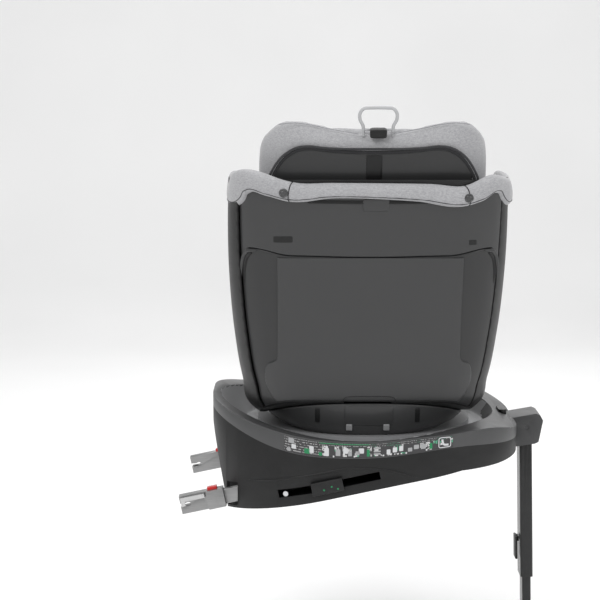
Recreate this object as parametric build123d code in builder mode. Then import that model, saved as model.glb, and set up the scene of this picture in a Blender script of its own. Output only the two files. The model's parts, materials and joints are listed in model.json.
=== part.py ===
"""Rotating convertible child car seat: swivel base with support leg and anchor latches, reclining shell, headrest.

Frame: +Z up as installed in a vehicle, +X towards the front of the vehicle (support leg side), millimetres.
Origin: where the swivel axis meets the plane of the base's underside, which slopes like a vehicle seat cushion.
The seat stands turned to the door side: the child faces +Y and the seat's back faces -Y.
"""

import math
import os

from build123d import *

# ---------------------------------------------------------------- driving dimensions
CUSHION_SLOPE = 12.0  # degrees, slope of the underside
BASE_REAR_X, BASE_FRONT_X, BASE_HALF_WIDTH = -255.0, 254.0, 220.0
REAR_CORNER_R, FRONT_CORNER_R = 190.0, 160.0
WALL = 4.0
DECK_Z, DECK_THICK, DECK_R = 70.0, 4.0, 208.4
BOWL_R, BOWL_RIM_R, BOWL_RIM_Z = 205.0, 246.0, 124.0

DISC_R, DISC_LOW, DISC_TOP = 180.0, 70.5, 80.0
HUB_R, DECK_BORE_R, RETAINER_R = 39.95, 40.0, 54.0

RECLINE_Z = 520.0  # the recline axis runs along X at this height
SHELL_BOTTOM_R = 424.0  # the shell's underside is an arc about the recline axis
RAIL_X, RAIL_WEB, RAIL_HEAD = 80.0, 6.0, 16.0
RAIL_GAP, RAIL_THICK = 0.5, 5.0

BACK_LEAN = 15.0  # degrees, lean of the backrest
SHELL_TOP_Z, BACK_TOP_Y = 500.0, -290.0
SKIN, BUCKET_IN, LINING_IN = 4.0, 10.0, 24.0  # depths in from the outer surface

ANCHOR_Y, ANCHOR_THROAT_R = 140.0, 3.05  # half of the 280 mm anchor spacing, throat for a 6 mm bar
THROAT_U, THROAT_W = -292.0, 21.0
PIN_U, PIN_W = -268.0, 30.5
ARM_LOW, ARM_HIGH, ARM_THICK = 9.0, 33.0, 12.0
EXTEND_OUT, EXTEND_IN = 52.0, 59.0

PIVOT_X, PIVOT_Z = 277.0, 62.0  # support leg pivot
LEG_LEAN = 1.5
LEG_X, LEG_Y, LEG_WALL = 21.5, 42.0, 1.8
INNER_X, INNER_Y = 15.0, 35.0
LEG_TOP, LEG_LOW, INNER_TOP, INNER_LOW, FOOT_LOW = 7.0, -266.0, -125.0, -388.0, -402.0

HEAD_LOW, HEAD_HIGH, HEAD_HALF = -95.0, 88.0, 180.0
STRAP_X, STRAP_WIDTH, WEB = 55.0, 38.0, 1.5

# ---------------------------------------------------------------- planes
slope = math.radians(CUSHION_SLOPE)
lean = math.radians(BACK_LEAN)
leg_lean = math.radians(LEG_LEAN)
# along the underside: local x forwards, local y across, local z away from the cushion
UNDER = Plane(
    origin=(0, 0, 0),
    x_dir=(math.cos(slope), 0, math.sin(slope)),
    z_dir=(-math.sin(slope), 0, math.cos(slope)),
)
# along the backrest: local x across, local y forwards from its outer surface, local z up the back
BACK = Plane(
    origin=(0, BACK_TOP_Y, SHELL_TOP_Z),
    x_dir=(1, 0, 0),
    z_dir=(0, -math.sin(lean), math.cos(lean)),
)
# along the support leg: local z up the leg from its pivot
LEG = Plane(
    origin=(PIVOT_X, 0, PIVOT_Z),
    x_dir=(math.cos(leg_lean), 0, math.sin(leg_lean)),
    z_dir=(-math.sin(leg_lean), 0, math.cos(leg_lean)),
)


def save(builder, name):
    """Labels a finished piece and writes its STEP file."""
    builder.part.label = name
    export_step(builder.part, f"parts/{name}.step")


def block(plane, low, high, mode=Mode.ADD):
    """A box between two corners given in a plane's own coordinates."""
    with BuildSketch(plane.offset(low[2])) as face:
        with Locations(((low[0] + high[0]) / 2, (low[1] + high[1]) / 2)):
            Rectangle(high[0] - low[0], high[1] - low[1])
    extrude(face.sketch, amount=high[2] - low[2], mode=mode)


def rounded_block(plane, low, high, radius, mode=Mode.ADD):
    """A box between two corners with its local vertical edges rounded."""
    with BuildSketch(plane.offset(low[2])) as face:
        with Locations(((low[0] + high[0]) / 2, (low[1] + high[1]) / 2)):
            RectangleRounded(high[0] - low[0], high[1] - low[1], radius)
    extrude(face.sketch, amount=high[2] - low[2], mode=mode)


def side_slab(points, half_width, mode=Mode.ADD):
    """A polygon in the XZ plane carried the same distance to both sides."""
    with BuildSketch(Plane.XZ) as face:
        with BuildLine():
            Polyline(*points, close=True)
        make_face()
    extrude(face.sketch, amount=half_width, both=True, mode=mode)


def rod(start, end, radius, mode=Mode.ADD):
    """A round bar between two points."""
    along = Vector(*end) - Vector(*start)
    with BuildSketch(Plane(origin=start, z_dir=along)) as face:
        Circle(radius)
    extrude(face.sketch, amount=along.length, mode=mode)


def webbing(start, end, across, width=STRAP_WIDTH, thick=WEB, mode=Mode.ADD):
    """A flat length of strap between the middles of its two ends."""
    along = Vector(*end) - Vector(*start)
    with BuildSketch(Plane(origin=start, x_dir=across, z_dir=along)) as face:
        Rectangle(width, thick)
    extrude(face.sketch, amount=along.length, mode=mode)


def recline_sector(x0, x1, r_in, r_out, a0, a1, mode=Mode.ADD):
    """A curved slab concentric with the recline axis, angles from straight down, positive to the front."""
    with BuildSketch(Plane.YZ.offset(x0)) as face:
        with BuildLine():
            inner = CenterArc((0, RECLINE_Z), r_in, a0 - 90, a1 - a0)
            outer = CenterArc((0, RECLINE_Z), r_out, a0 - 90, a1 - a0)
            Line(inner @ 0, outer @ 0)
            Line(inner @ 1, outer @ 1)
        make_face()
    extrude(face.sketch, amount=x1 - x0, mode=mode)


def point_on(plane, x, y, z):
    """World coordinates of a point given in a plane's own coordinates."""
    return plane.from_local_coords(Vector(x, y, z))


os.makedirs("parts", exist_ok=True)

# ---------------------------------------------------------------- base
REAR_X = BASE_REAR_X + REAR_CORNER_R
FRONT_X = BASE_FRONT_X - FRONT_CORNER_R
SEAM = [(-300, 125), (-200, 84), (-141, 65), (-47, 54), (40, 57), (145, 71), (254, 62), (290, 58)]
RIM = [(-300, 146), (-238, 119), (-170, 99), (-100, 86), (0, 80), (125, 91), (214, 92), (254, 78), (290, 66)]
FLOOR = [(-262, -55.7), (150, 31.9), (216, 34), (290, 40)]


def base_outline(inset):
    """Plan outline of the base, moved in all round."""
    with BuildSketch(Plane.XY.offset(-90)) as face:
        with Locations((REAR_X, 30), (REAR_X, -30)):
            Circle(REAR_CORNER_R - inset)
        with Locations((FRONT_X, 60), (FRONT_X, -60)):
            Circle(FRONT_CORNER_R - inset)
        make_hull()
    extrude(face.sketch, amount=300)


def base_between(low_curve, high_curve, lift_low, lift_high, mode=Mode.INTERSECT):
    """Keeps what lies between two side view curves."""
    with BuildSketch(Plane.XZ) as face:
        with BuildLine():
            low = [(x, z + lift_low) for x, z in low_curve]
            high = [(x, z + lift_high) for x, z in high_curve]
            if low_curve is FLOOR:
                Polyline(*low)
            else:
                Spline(*low)
            Spline(*high)
            Line(low[0], high[0])
            Line(low[-1], high[-1])
        make_face()
    extrude(face.sketch, amount=260, both=True, mode=mode)


with BuildPart() as tray_hollow:
    base_outline(WALL)
    base_between(FLOOR, RIM, WALL, 30)
    block(UNDER, (10, -28, -20), (330, 28, 20), mode=Mode.SUBTRACT)
    block(UNDER, (40, -28, -20), (100, 28, 29), mode=Mode.SUBTRACT)
    block(UNDER, (-260, -55, -20), (20, 55, 40), mode=Mode.SUBTRACT)

with BuildPart() as base_lower_housing:
    base_outline(0)
    base_between(FLOOR, SEAM, 0, 0)
    add(tray_hollow.part, mode=Mode.SUBTRACT)
    block(UNDER, (-300, -400, -60), (-232, 400, 400), mode=Mode.SUBTRACT)
    # channel and pocket that the folded support leg and its foot lie in
    block(UNDER, (10, -25, -20), (330, 25, 17), mode=Mode.SUBTRACT)
    block(UNDER, (43, -25, -20), (97, 25, 26), mode=Mode.SUBTRACT)
    block(UNDER, (-300, -52, -20), (17, 52, 37), mode=Mode.SUBTRACT)
    # openings for the anchor latches, the slide knobs and the leg arm
    for side in (-1, 1):
        y_low, y_high = sorted((side * 127, side * 153))
        block(UNDER, (-300, y_low, 4.5), (-190, y_high, 42), mode=Mode.SUBTRACT)
        y_low, y_high = sorted((side * 190, side * 240))
        block(UNDER, (-141, y_low, 15.5), (24, y_high, 28.5), mode=Mode.SUBTRACT)
    side_slab([(235.8, -20), (235.8, 78.2), (320, 95), (320, -20)], 31.2, mode=Mode.SUBTRACT)
save(base_lower_housing, "base_lower_housing")

with BuildPart() as bowl:
    with BuildSketch(Plane.XZ):
        with BuildLine():
            Polyline(
                (0, DECK_Z),
                (BOWL_R, DECK_Z),
                (BOWL_RIM_R, BOWL_RIM_Z),
                (BOWL_RIM_R + 60, BOWL_RIM_Z + 79),
                (0, BOWL_RIM_Z + 79),
                close=True,
            )
        make_face()
    revolve(axis=Axis.Z)

with BuildPart() as bowl_backing:
    with BuildSketch(Plane.XZ):
        with BuildLine():
            Polyline(
                (0, DECK_Z - 12),
                (BOWL_R + 3.4, DECK_Z - 12),
                (BOWL_R + 3.4, DECK_Z - 2),
                (BOWL_RIM_R + 3.4, BOWL_RIM_Z - 2),
                (BOWL_RIM_R + 63.4, BOWL_RIM_Z + 77),
                (0, BOWL_RIM_Z + 79),
                close=True,
            )
        make_face()
    revolve(axis=Axis.Z)

with BuildPart() as rim_hollow:
    base_outline(WALL)
    base_between(FLOOR, RIM, -20, -WALL)
    add(bowl_backing.part, mode=Mode.SUBTRACT)

with BuildPart() as base_rim:
    base_outline(0)
    base_between(SEAM, RIM, 0.05, 0)
    add(bowl.part, mode=Mode.SUBTRACT)
    add(rim_hollow.part, mode=Mode.SUBTRACT)
    with BuildSketch(Plane.XY.offset(DECK_Z - 40)):
        Circle(DECK_R + 0.1)
    extrude(amount=40.05, mode=Mode.SUBTRACT)
    side_slab([(235.8, -20), (235.8, 78.2), (320, 95), (320, -20)], 31.2, mode=Mode.SUBTRACT)
    with BuildSketch(Plane.XY.offset(60)):
        with Locations((237, 0)):
            SlotOverall(42.4, 14.4, rotation=90)
    extrude(amount=60, mode=Mode.SUBTRACT)
save(base_rim, "base_rim")

with BuildPart() as base_deck:
    with BuildSketch(Plane.XY.offset(DECK_Z - DECK_THICK)):
        Circle(DECK_R)
        Circle(DECK_BORE_R, mode=Mode.SUBTRACT)
    extrude(amount=DECK_THICK)
    with BuildSketch(Plane.XY.offset(DECK_Z - DECK_THICK)):
        with PolarLocations(195, 12, start_angle=15):
            Circle(3.2)
    extrude(amount=DECK_THICK, mode=Mode.SUBTRACT)
save(base_deck, "base_deck")

with BuildPart() as deck_screws:
    with BuildSketch(Plane.XY.offset(DECK_Z - DECK_THICK)):
        with PolarLocations(195, 12, start_angle=15):
            Circle(3)
    extrude(amount=DECK_THICK)
save(deck_screws, "deck_screws")

with BuildPart() as leg_arm:
    side_slab([(236, 25), (236, 76), (293, 86), (300, 83), (305, 74), (298, 37), (292, 34)], 31)
    cavity = [(226, -10), (226, 65), (266, 73.6), (270, 77), (286, 77), (290, 71), (290, -10)]
    side_slab(cavity, 22, mode=Mode.SUBTRACT)
    rod((PIVOT_X, -40, PIVOT_Z), (PIVOT_X, 40, PIVOT_Z), 4, mode=Mode.SUBTRACT)
save(leg_arm, "leg_arm")

with BuildPart() as leg_pivot_pin:
    rod((PIVOT_X, -30, PIVOT_Z), (PIVOT_X, 30, PIVOT_Z), 4)
save(leg_pivot_pin, "leg_pivot_pin")

with BuildPart() as anchor_guides:
    for side in (-1, 1):
        y_low, y_high = sorted((side * 129, side * 151))
        block(UNDER, (-168, y_low, 4.2), (-132, y_high, 38))
        y_low, y_high = sorted((side * 133.6, side * 146.4))
        block(UNDER, (-170, y_low, 8.6), (-130, y_high, 33.4), mode=Mode.SUBTRACT)
save(anchor_guides, "anchor_guides")

with BuildPart() as rotation_button:
    with BuildSketch(Plane.XY.offset(82)):
        with Locations((237, 0)):
            SlotOverall(41.6, 13.6, rotation=90)
    extrude(amount=9)
save(rotation_button, "rotation_button")

# ---------------------------------------------------------------- turntable
with BuildPart() as turntable_disc:
    with BuildSketch(Plane.XY.offset(DISC_LOW)):
        Circle(DISC_R)
    extrude(amount=DISC_TOP - DISC_LOW)
    with BuildSketch(Plane.XY.offset(60)):
        Circle(HUB_R)
    extrude(amount=DISC_LOW - 60)
    with BuildSketch(Plane.XY.offset(50)):
        Circle(HUB_R - 8)
    extrude(amount=60, mode=Mode.SUBTRACT)
save(turntable_disc, "turntable_disc")

with BuildPart() as turntable_retainer:
    with BuildSketch(Plane.XY.offset(60)):
        Circle(RETAINER_R)
        Circle(HUB_R, mode=Mode.SUBTRACT)
    extrude(amount=5.5)
save(turntable_retainer, "turntable_retainer")

RAIL_LOW_R = SHELL_BOTTOM_R + RAIL_GAP
RAIL_REAR_Y = math.sin(math.radians(-17)) * RAIL_LOW_R
RAIL_FRONT_Y = math.sin(math.radians(22)) * RAIL_LOW_R
with BuildPart() as recline_rails:
    for side in (-1, 1):
        with BuildSketch(Plane.YZ.offset(side * RAIL_X - RAIL_WEB / 2)) as web:
            with BuildLine():
                arc = CenterArc((0, RECLINE_Z), RAIL_LOW_R, -107, 39)
                Line(arc @ 0, (RAIL_REAR_Y, DISC_TOP))
                Line(arc @ 1, (RAIL_FRONT_Y, DISC_TOP))
                Line((RAIL_REAR_Y, DISC_TOP), (RAIL_FRONT_Y, DISC_TOP))
            make_face()
        extrude(web.sketch, amount=RAIL_WEB)
        head_low, head_high = side * RAIL_X - RAIL_HEAD / 2, side * RAIL_X + RAIL_HEAD / 2
        recline_sector(head_low, head_high, RAIL_LOW_R, RAIL_LOW_R + RAIL_THICK, -17, 22)
save(recline_rails, "recline_rails")

def cradle_form(inset, mode=Mode.ADD):
    """The bowl between turntable and shell, moved in all round."""
    faces = []
    for z, half_x, half_y in ((DISC_TOP, 177, 171), (136, 186, 183)):
        with BuildSketch(Plane.XY.offset(z)) as face:
            RectangleRounded(2 * (half_x - inset), 2 * (half_y - inset), 110 - inset)
        faces.append(face.sketch)
    loft(faces, mode=mode)


with BuildPart() as recline_cradle:
    cradle_form(0)
    cradle_form(4, mode=Mode.SUBTRACT)
    with BuildSketch(Plane.YZ) as disc:
        with Locations((0, RECLINE_Z)):
            Circle(RAIL_LOW_R + 0.3)
    extrude(disc.sketch, amount=300, both=True, mode=Mode.SUBTRACT)
save(recline_cradle, "recline_cradle")

# ---------------------------------------------------------------- seat shell
# height, half width, rear, front, corner radius
SECTIONS = [
    (88, 140, -136, 160, 70),
    (120, 184, -172, 206, 78),
    (170, 197, -200, 232, 80),
    (250, 209, -223, 244, 82),
    (350, 216, -249.8, 242, 84),
    (450, 216, -276.6, 232, 84),
    (512, 213, -293.2, 226, 84),
]


def shell_form(inset, mode=Mode.ADD):
    """The shell's outer form moved in all round."""
    faces = []
    for z, half, rear, front, corner in SECTIONS:
        with BuildSketch(Plane.XY.offset(z)) as face:
            with Locations((0, (rear + front) / 2)):
                RectangleRounded(2 * (half - inset), front - rear - 2 * inset, corner - inset)
        faces.append(face.sketch)
    loft(faces, mode=mode)


def above_arc(radius, mode=Mode.INTERSECT):
    """Keeps what lies inside a cylinder about the recline axis."""
    with BuildSketch(Plane.YZ) as face:
        with Locations((0, RECLINE_Z)):
            Circle(radius)
    extrude(face.sketch, amount=300, both=True, mode=mode)


def trim_edge(inset=0.0):
    """Cuts the shell along its top edge, its wing fronts and its arm rests."""
    with BuildSketch(Plane.YZ) as face:
        with BuildLine():
            Spline(
                (-150 - inset, 530),
                (-112 - inset, 495),
                (-62 - inset, 430 - inset),
                (-15, 340 - inset),
                (60, 262 - inset),
                (150, 216 - inset),
                (220, 200 - inset),
                (300, 196 - inset),
            )
            Line((300, 196 - inset), (300, 530))
            Line((300, 530), (-150 - inset, 530))
        make_face()
    extrude(face.sketch, amount=300, both=True, mode=Mode.SUBTRACT)
    block(Plane.XY, (-300, -400, SHELL_TOP_Z - inset), (300, 400, SHELL_TOP_Z + 60), mode=Mode.SUBTRACT)


with BuildPart() as seat_hollow:
    shell_form(BUCKET_IN)
    above_arc(408)

with BuildPart() as seat_bucket:
    shell_form(SKIN + 0.3)
    above_arc(SHELL_BOTTOM_R)
    add(seat_hollow.part, mode=Mode.SUBTRACT)
    trim_edge(1.0)
    block(Plane.XY, (-38, -300, 80), (38, -150, 148), mode=Mode.SUBTRACT)
save(seat_bucket, "seat_bucket")


def skin(outer, inner):
    """A layer of the shell between two depths."""
    shell_form(outer)
    shell_form(inner, mode=Mode.SUBTRACT)
    above_arc(SHELL_BOTTOM_R)
    trim_edge()


REAR_CUT_Y = -150.0
with BuildPart() as back_cover_upper:
    skin(0, SKIN)
    block(Plane.XY, (-192, -320, 381), (192, REAR_CUT_Y, 520), mode=Mode.INTERSECT)
save(back_cover_upper, "back_cover_upper")

with BuildPart() as back_cover_lower:
    skin(0, SKIN)
    block(Plane.XY, (-192, -320, 80), (192, REAR_CUT_Y, 380.5), mode=Mode.INTERSECT)
    block(Plane.XY, (-38, -300, 80), (38, -100, 148), mode=Mode.SUBTRACT)
save(back_cover_lower, "back_cover_lower")

with BuildPart() as centre_back_plate:
    shell_form(-3)
    shell_form(-0.05, mode=Mode.SUBTRACT)
    block(Plane.XY, (-142, -320, 211), (142, -100, 462), mode=Mode.INTERSECT)
save(centre_back_plate, "centre_back_plate")

for side, word in ((-1, "left"), (1, "right")):
    with BuildPart() as side_cover:
        skin(0, SKIN)
        x_low, x_high = sorted((side * 0.3, side * 230))
        block(Plane.XY, (x_low, -320, 80), (x_high, 300, 520), mode=Mode.INTERSECT)
        block(Plane.XY, (-192.4, -330, 70), (192.4, REAR_CUT_Y + 0.4, 530), mode=Mode.SUBTRACT)
        block(Plane.XY, (-120, 150, 70), (120, 330, 530), mode=Mode.SUBTRACT)
    save(side_cover, f"side_cover_{word}")

with BuildPart() as front_cover:
    skin(0, SKIN)
    block(Plane.XY, (-119.6, 150.4, 80), (119.6, 330, 520), mode=Mode.INTERSECT)
save(front_cover, "front_cover")

with BuildPart() as shell_runners:
    for side in (-1, 1):
        outside = side * (RAIL_X + RAIL_HEAD / 2 + 0.5)
        x_low, x_high = sorted((outside, outside + side * 4))
        recline_sector(x_low, x_high, SHELL_BOTTOM_R, 434, -14.5, 9)
        x_low, x_high = sorted((outside - side * 4, outside))
        recline_sector(x_low, x_high, 430, 434, -14.5, 9)
save(shell_runners, "shell_runners")

with BuildPart() as seat_foam:
    shell_form(BUCKET_IN + 0.3)
    above_arc(407.7)
    block(Plane.XY, (-230, -300, 80), (230, 300, 165), mode=Mode.INTERSECT)
save(seat_foam, "seat_foam")

with BuildPart() as seat_cushion:
    shell_form(BUCKET_IN + 1)
    above_arc(407.5)
    block(Plane.XY, (-230, -176, 165.3), (230, 300, 199.4), mode=Mode.INTERSECT)
    fillet(seat_cushion.faces().sort_by(Axis.Z)[-1].edges(), 9)
save(seat_cushion, "seat_cushion")

with BuildPart() as shell_lining:
    shell_form(BUCKET_IN + 0.3)
    shell_form(LINING_IN, mode=Mode.SUBTRACT)
    block(Plane.XY, (-230, -320, 200), (230, 300, 530), mode=Mode.INTERSECT)
    trim_edge()
save(shell_lining, "shell_lining")

with BuildPart() as back_cushion:
    rounded_block(BACK, (-138, 26.5, -312), (138, 50, -214), 11)
save(back_cushion, "back_cushion")

with BuildPart() as side_bolsters:
    for side in (-1, 1):
        x_low, x_high = sorted((side * 138, side * 165))
        rounded_block(Plane.XY, (x_low, -146, 199.8), (x_high, 70, 234), 10)
save(side_bolsters, "side_bolsters")

with BuildPart() as cover_snaps:
    for x in (-136, 136):
        start = point_on(BACK, x, -0.1, -24)
        end = point_on(BACK, x, -2.4, -24)
        rod(start, end, 6.5)
save(cover_snaps, "cover_snaps")

with BuildPart() as clip_tab:
    block(BACK, (-23, -3.4, -28), (23, -0.1, -8))
save(clip_tab, "clip_tab")

# ---------------------------------------------------------------- harness and buckle
with BuildPart() as buckle_body:
    rounded_block(Plane.XY, (-24, -6, 199.6), (24, 20, 246), 8)
    block(Plane.XY, (-15, 12, 212), (15, 24, 236), mode=Mode.SUBTRACT)
    for x in (-11, 11):
        block(Plane.XY, (x - 9, 4, 226), (x + 9, 7, 250), mode=Mode.SUBTRACT)
save(buckle_body, "buckle_body")

with BuildPart() as buckle_button:
    rounded_block(Plane.XZ, (-14.5, 212.5, -21), (14.5, 235.5, -15.6), 3)
save(buckle_button, "buckle_button")

for side, word in ((-1, "left"), (1, "right")):
    with BuildPart() as tongue:
        x_low, x_high = sorted((side * 2.5, side * 19.5))
        block(Plane.XY, (x_low, 4.4, 228), (x_high, 6.6, 248))
        x_low, x_high = sorted((side * 2.5, side * 40))
        block(Plane.XY, (x_low, 4.4, 246.5), (x_high, 6.6, 262))
    save(tongue, f"harness_tongue_{word}")
    with BuildPart() as shoulder_pad:
        x_low, x_high = side * STRAP_X - 26, side * STRAP_X + 26
        rounded_block(BACK, (x_low, 56, -200), (x_high, 77, HEAD_LOW - 0.2), 6)
        x_low, x_high = side * STRAP_X - 21, side * STRAP_X + 21
        block(BACK, (x_low, 61, -202), (x_high, 72, HEAD_LOW + 2), mode=Mode.SUBTRACT)
    save(shoulder_pad, f"shoulder_pad_{word}")

with BuildPart() as shoulder_straps_lower:
    for side in (-1, 1):
        top = point_on(BACK, side * STRAP_X, 68, -205)
        knee = point_on(BACK, side * STRAP_X, 68, -306)
        webbing(top, knee, (1, 0, 0))
        webbing(knee, (side * 23, 1.2, 255), (1, 0, 0), width=30)
save(shoulder_straps_lower, "shoulder_straps_lower")

with BuildPart() as lap_straps:
    for side in (-1, 1):
        webbing((side * 45, 1, 252), (side * 134, -70, 220), (0, 0.3, -1), width=26)
save(lap_straps, "lap_straps")

with BuildPart() as shoulder_straps_upper:
    for side in (-1, 1):
        top = point_on(BACK, side * STRAP_X, 64.5, HEAD_LOW)
        end = point_on(BACK, side * STRAP_X, 64.5, -200)
        webbing(top, end, (1, 0, 0))
save(shoulder_straps_upper, "shoulder_straps_upper")

with BuildPart() as crotch_pad:
    rounded_block(Plane.XY, (-30, -15, 199.6), (30, -7.5, 234), 3)
save(crotch_pad, "crotch_pad")

with BuildPart() as adjuster_housing:
    rounded_block(Plane.XY, (-26, 120, 199.6), (26, 172, 210), 8)
    block(Plane.XY, (-13, 136, 203), (13, 162, 220), mode=Mode.SUBTRACT)
save(adjuster_housing, "adjuster_housing")

with BuildPart() as adjuster_button:
    rounded_block(Plane.XY, (-12.5, 136.5, 206.2), (12.5, 161.5, 212), 4)
save(adjuster_button, "adjuster_button")

with BuildPart() as adjuster_strap:
    webbing((0, 172.2, 206), (0, 249, 206), (1, 0, 0), width=25)
    webbing((0, 248.3, 206.7), (0, 248.3, 172), (1, 0, 0), width=25)
save(adjuster_strap, "adjuster_strap")

with BuildPart() as recline_lever:
    rounded_block(Plane.XY, (-48, 236, 152), (48, 262, 166), 10)
    block(Plane.XY, (-30, 242, 140), (30, 256, 158), mode=Mode.SUBTRACT)
save(recline_lever, "recline_lever")

# ---------------------------------------------------------------- headrest
with BuildPart() as headrest_core:
    with BuildSketch(BACK.offset(HEAD_LOW)):
        with Locations((0, 31 + 70)):
            RectangleRounded(2 * HEAD_HALF - 24, 140, 60)
        with Locations((0, 31 + 120)):
            RectangleRounded(2 * HEAD_HALF - 96, 190, 40, mode=Mode.SUBTRACT)
        with Locations((0, 200)):
            Rectangle(500, 60, mode=Mode.SUBTRACT)
    extrude(amount=HEAD_HIGH - HEAD_LOW - 16)
    block(BACK, (-28, 36, 14), (28, 52, 140), mode=Mode.SUBTRACT)
    block(Plane.XY, (-300, -400, 586), (300, 0, 700), mode=Mode.SUBTRACT)
save(headrest_core, "headrest_core")

with BuildPart() as headrest_back_panel:
    rounded_block(BACK, (-110, 26.8, HEAD_LOW), (110, 30.8, 44), 1.5)
save(headrest_back_panel, "headrest_back_panel")

with BuildPart() as headrest_pad:
    with BuildSketch(BACK.offset(HEAD_LOW + 4)):
        with Locations((0, 56.3 + 60)):
            RectangleRounded(2 * HEAD_HALF - 97, 120, 41)
        with Locations((0, 56.3 + 82)):
            RectangleRounded(2 * HEAD_HALF - 140, 120, 30, mode=Mode.SUBTRACT)
        with Locations((0, 200)):
            Rectangle(500, 60, mode=Mode.SUBTRACT)
    extrude(amount=HEAD_HIGH - HEAD_LOW - 30)
    block(Plane.XY, (-300, -400, 580), (300, 0, 700), mode=Mode.SUBTRACT)
save(headrest_pad, "headrest_pad")

with BuildPart() as headrest_handle:
    block(BACK, (-25.5, 38, 50), (25.5, 50, 101.5))
    block(BACK, (-18, 30, 76), (18, 60, 96.5), mode=Mode.SUBTRACT)
    block(BACK, (-9, 40, 26), (9, 48, 51))
save(headrest_handle, "headrest_handle")


# ---------------------------------------------------------------- anchor latches
with BuildPart() as anchor_arms:
    for side in (-1, 1):
        y_low, y_high = sorted((side * (ANCHOR_Y - ARM_THICK / 2), side * (ANCHOR_Y + ARM_THICK / 2)))
        block(UNDER, (-232, y_low, ARM_LOW), (-2, y_high, ARM_HIGH))
        block(UNDER, (-72, y_low, ARM_HIGH), (-50, y_high, 54))
save(anchor_arms, "anchor_arms")

with BuildPart() as anchor_cross_tube:
    start = point_on(UNDER, -61, -(ANCHOR_Y - ARM_THICK / 2), 46)
    end = point_on(UNDER, -61, ANCHOR_Y - ARM_THICK / 2, 46)
    rod(start, end, 5.5)
save(anchor_cross_tube, "anchor_cross_tube")

with BuildPart() as slide_knobs:
    for side in (-1, 1):
        y_low, y_high = sorted((side * (ANCHOR_Y + ARM_THICK / 2), side * 221))
        block(UNDER, (-72, y_low, 17), (-50, y_high, 27))
        y_low, y_high = sorted((side * 221, side * 227))
        block(UNDER, (-87, y_low, 11.5), (-36, y_high, 32.5))
save(slide_knobs, "slide_knobs")

for side, word in ((-1, "left"), (1, "right")):
    with BuildPart() as latch_housing:
        y_low, y_high = sorted((side * 128, side * 152))
        block(UNDER, (-306, y_low, 6), (-232.2, y_high, 36))
        throat_low = (-310, y_low - 1, THROAT_W - ANCHOR_THROAT_R)
        throat_high = (THROAT_U, y_high + 1, THROAT_W + ANCHOR_THROAT_R)
        block(UNDER, throat_low, throat_high, mode=Mode.SUBTRACT)
        low = point_on(UNDER, THROAT_U, y_low - 1, THROAT_W)
        high = point_on(UNDER, THROAT_U, y_high + 1, THROAT_W)
        rod(low, high, ANCHOR_THROAT_R, mode=Mode.SUBTRACT)
        # slot the jaw swings in, pocket for the release button
        y_low, y_high = sorted((side * 145, side * 153))
        block(UNDER, (-310, y_low, 0), (-260.5, y_high, 40), mode=Mode.SUBTRACT)
        y_low, y_high = sorted((side * 130, side * 142))
        block(UNDER, (-258.4, y_low, 26), (-241.6, y_high, 40), mode=Mode.SUBTRACT)
        pin_low = point_on(UNDER, PIN_U, side * 129, PIN_W)
        pin_high = point_on(UNDER, PIN_U, side * 151, PIN_W)
        rod(pin_low, pin_high, 2, mode=Mode.SUBTRACT)
    save(latch_housing, f"latch_housing_{word}")

    with BuildPart() as latch_jaw:
        y_low, y_high = sorted((side * 145.5, side * 150.5))
        block(UNDER, (-304, y_low, 27), (-264, y_high, 34))
        block(UNDER, (-304, y_low, 19.5), (-297.5, y_high, 27))
        rod(pin_low, pin_high, 2.05, mode=Mode.SUBTRACT)
    save(latch_jaw, f"latch_jaw_{word}")

    with BuildPart() as latch_button:
        y_low, y_high = sorted((side * 130.5, side * 141.5))
        block(UNDER, (-258, y_low, 30.5), (-242, y_high, 40.5))
    save(latch_button, f"latch_button_{word}")

with BuildPart() as latch_pins:
    for side in (-1, 1):
        rod(point_on(UNDER, PIN_U, side * 129, PIN_W), point_on(UNDER, PIN_U, side * 151, PIN_W), 2)
save(latch_pins, "latch_pins")

# ---------------------------------------------------------------- support leg
with BuildPart() as leg_outer_tube:
    rounded_block(LEG, (-LEG_X / 2, -LEG_Y / 2, LEG_LOW), (LEG_X / 2, LEG_Y / 2, LEG_TOP), 4)
    low = (-LEG_X / 2 + LEG_WALL, -LEG_Y / 2 + LEG_WALL, LEG_LOW - 1)
    rounded_block(LEG, low, (LEG_X / 2 - LEG_WALL, LEG_Y / 2 - LEG_WALL, LEG_TOP + 1), 2.5, mode=Mode.SUBTRACT)
    rod((PIVOT_X, -40, PIVOT_Z), (PIVOT_X, 40, PIVOT_Z), 4.05, mode=Mode.SUBTRACT)
save(leg_outer_tube, "leg_outer_tube")

with BuildPart() as leg_lever:
    rounded_block(LEG, (-18.4, -13, -236), (-14.6, 13, -196), 1.5)
    block(LEG, (-15, -9, -205), (-11.6, 9, -197))
save(leg_lever, "leg_lever")

with BuildPart() as leg_inner_tube:
    rounded_block(LEG, (-INNER_X / 2, -INNER_Y / 2, INNER_LOW), (INNER_X / 2, INNER_Y / 2, INNER_TOP), 3)
    low = (-INNER_X / 2 + 1.5, -INNER_Y / 2 + 1.5, INNER_LOW - 1)
    high = (INNER_X / 2 - 1.5, INNER_Y / 2 - 1.5, INNER_TOP + 1)
    rounded_block(LEG, low, high, 1.5, mode=Mode.SUBTRACT)
save(leg_inner_tube, "leg_inner_tube")

with BuildPart() as leg_foot:
    rounded_block(LEG, (-30, -45, FOOT_LOW + 4), (30, 45, FOOT_LOW + 14), 12)
    rounded_block(LEG, (-15, -25, FOOT_LOW + 14), (15, 25, FOOT_LOW + 26), 6)
    rounded_block(LEG, (-INNER_X / 2, -INNER_Y / 2, INNER_LOW), (INNER_X / 2, INNER_Y / 2, 0), 3, mode=Mode.SUBTRACT)
save(leg_foot, "leg_foot")

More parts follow.
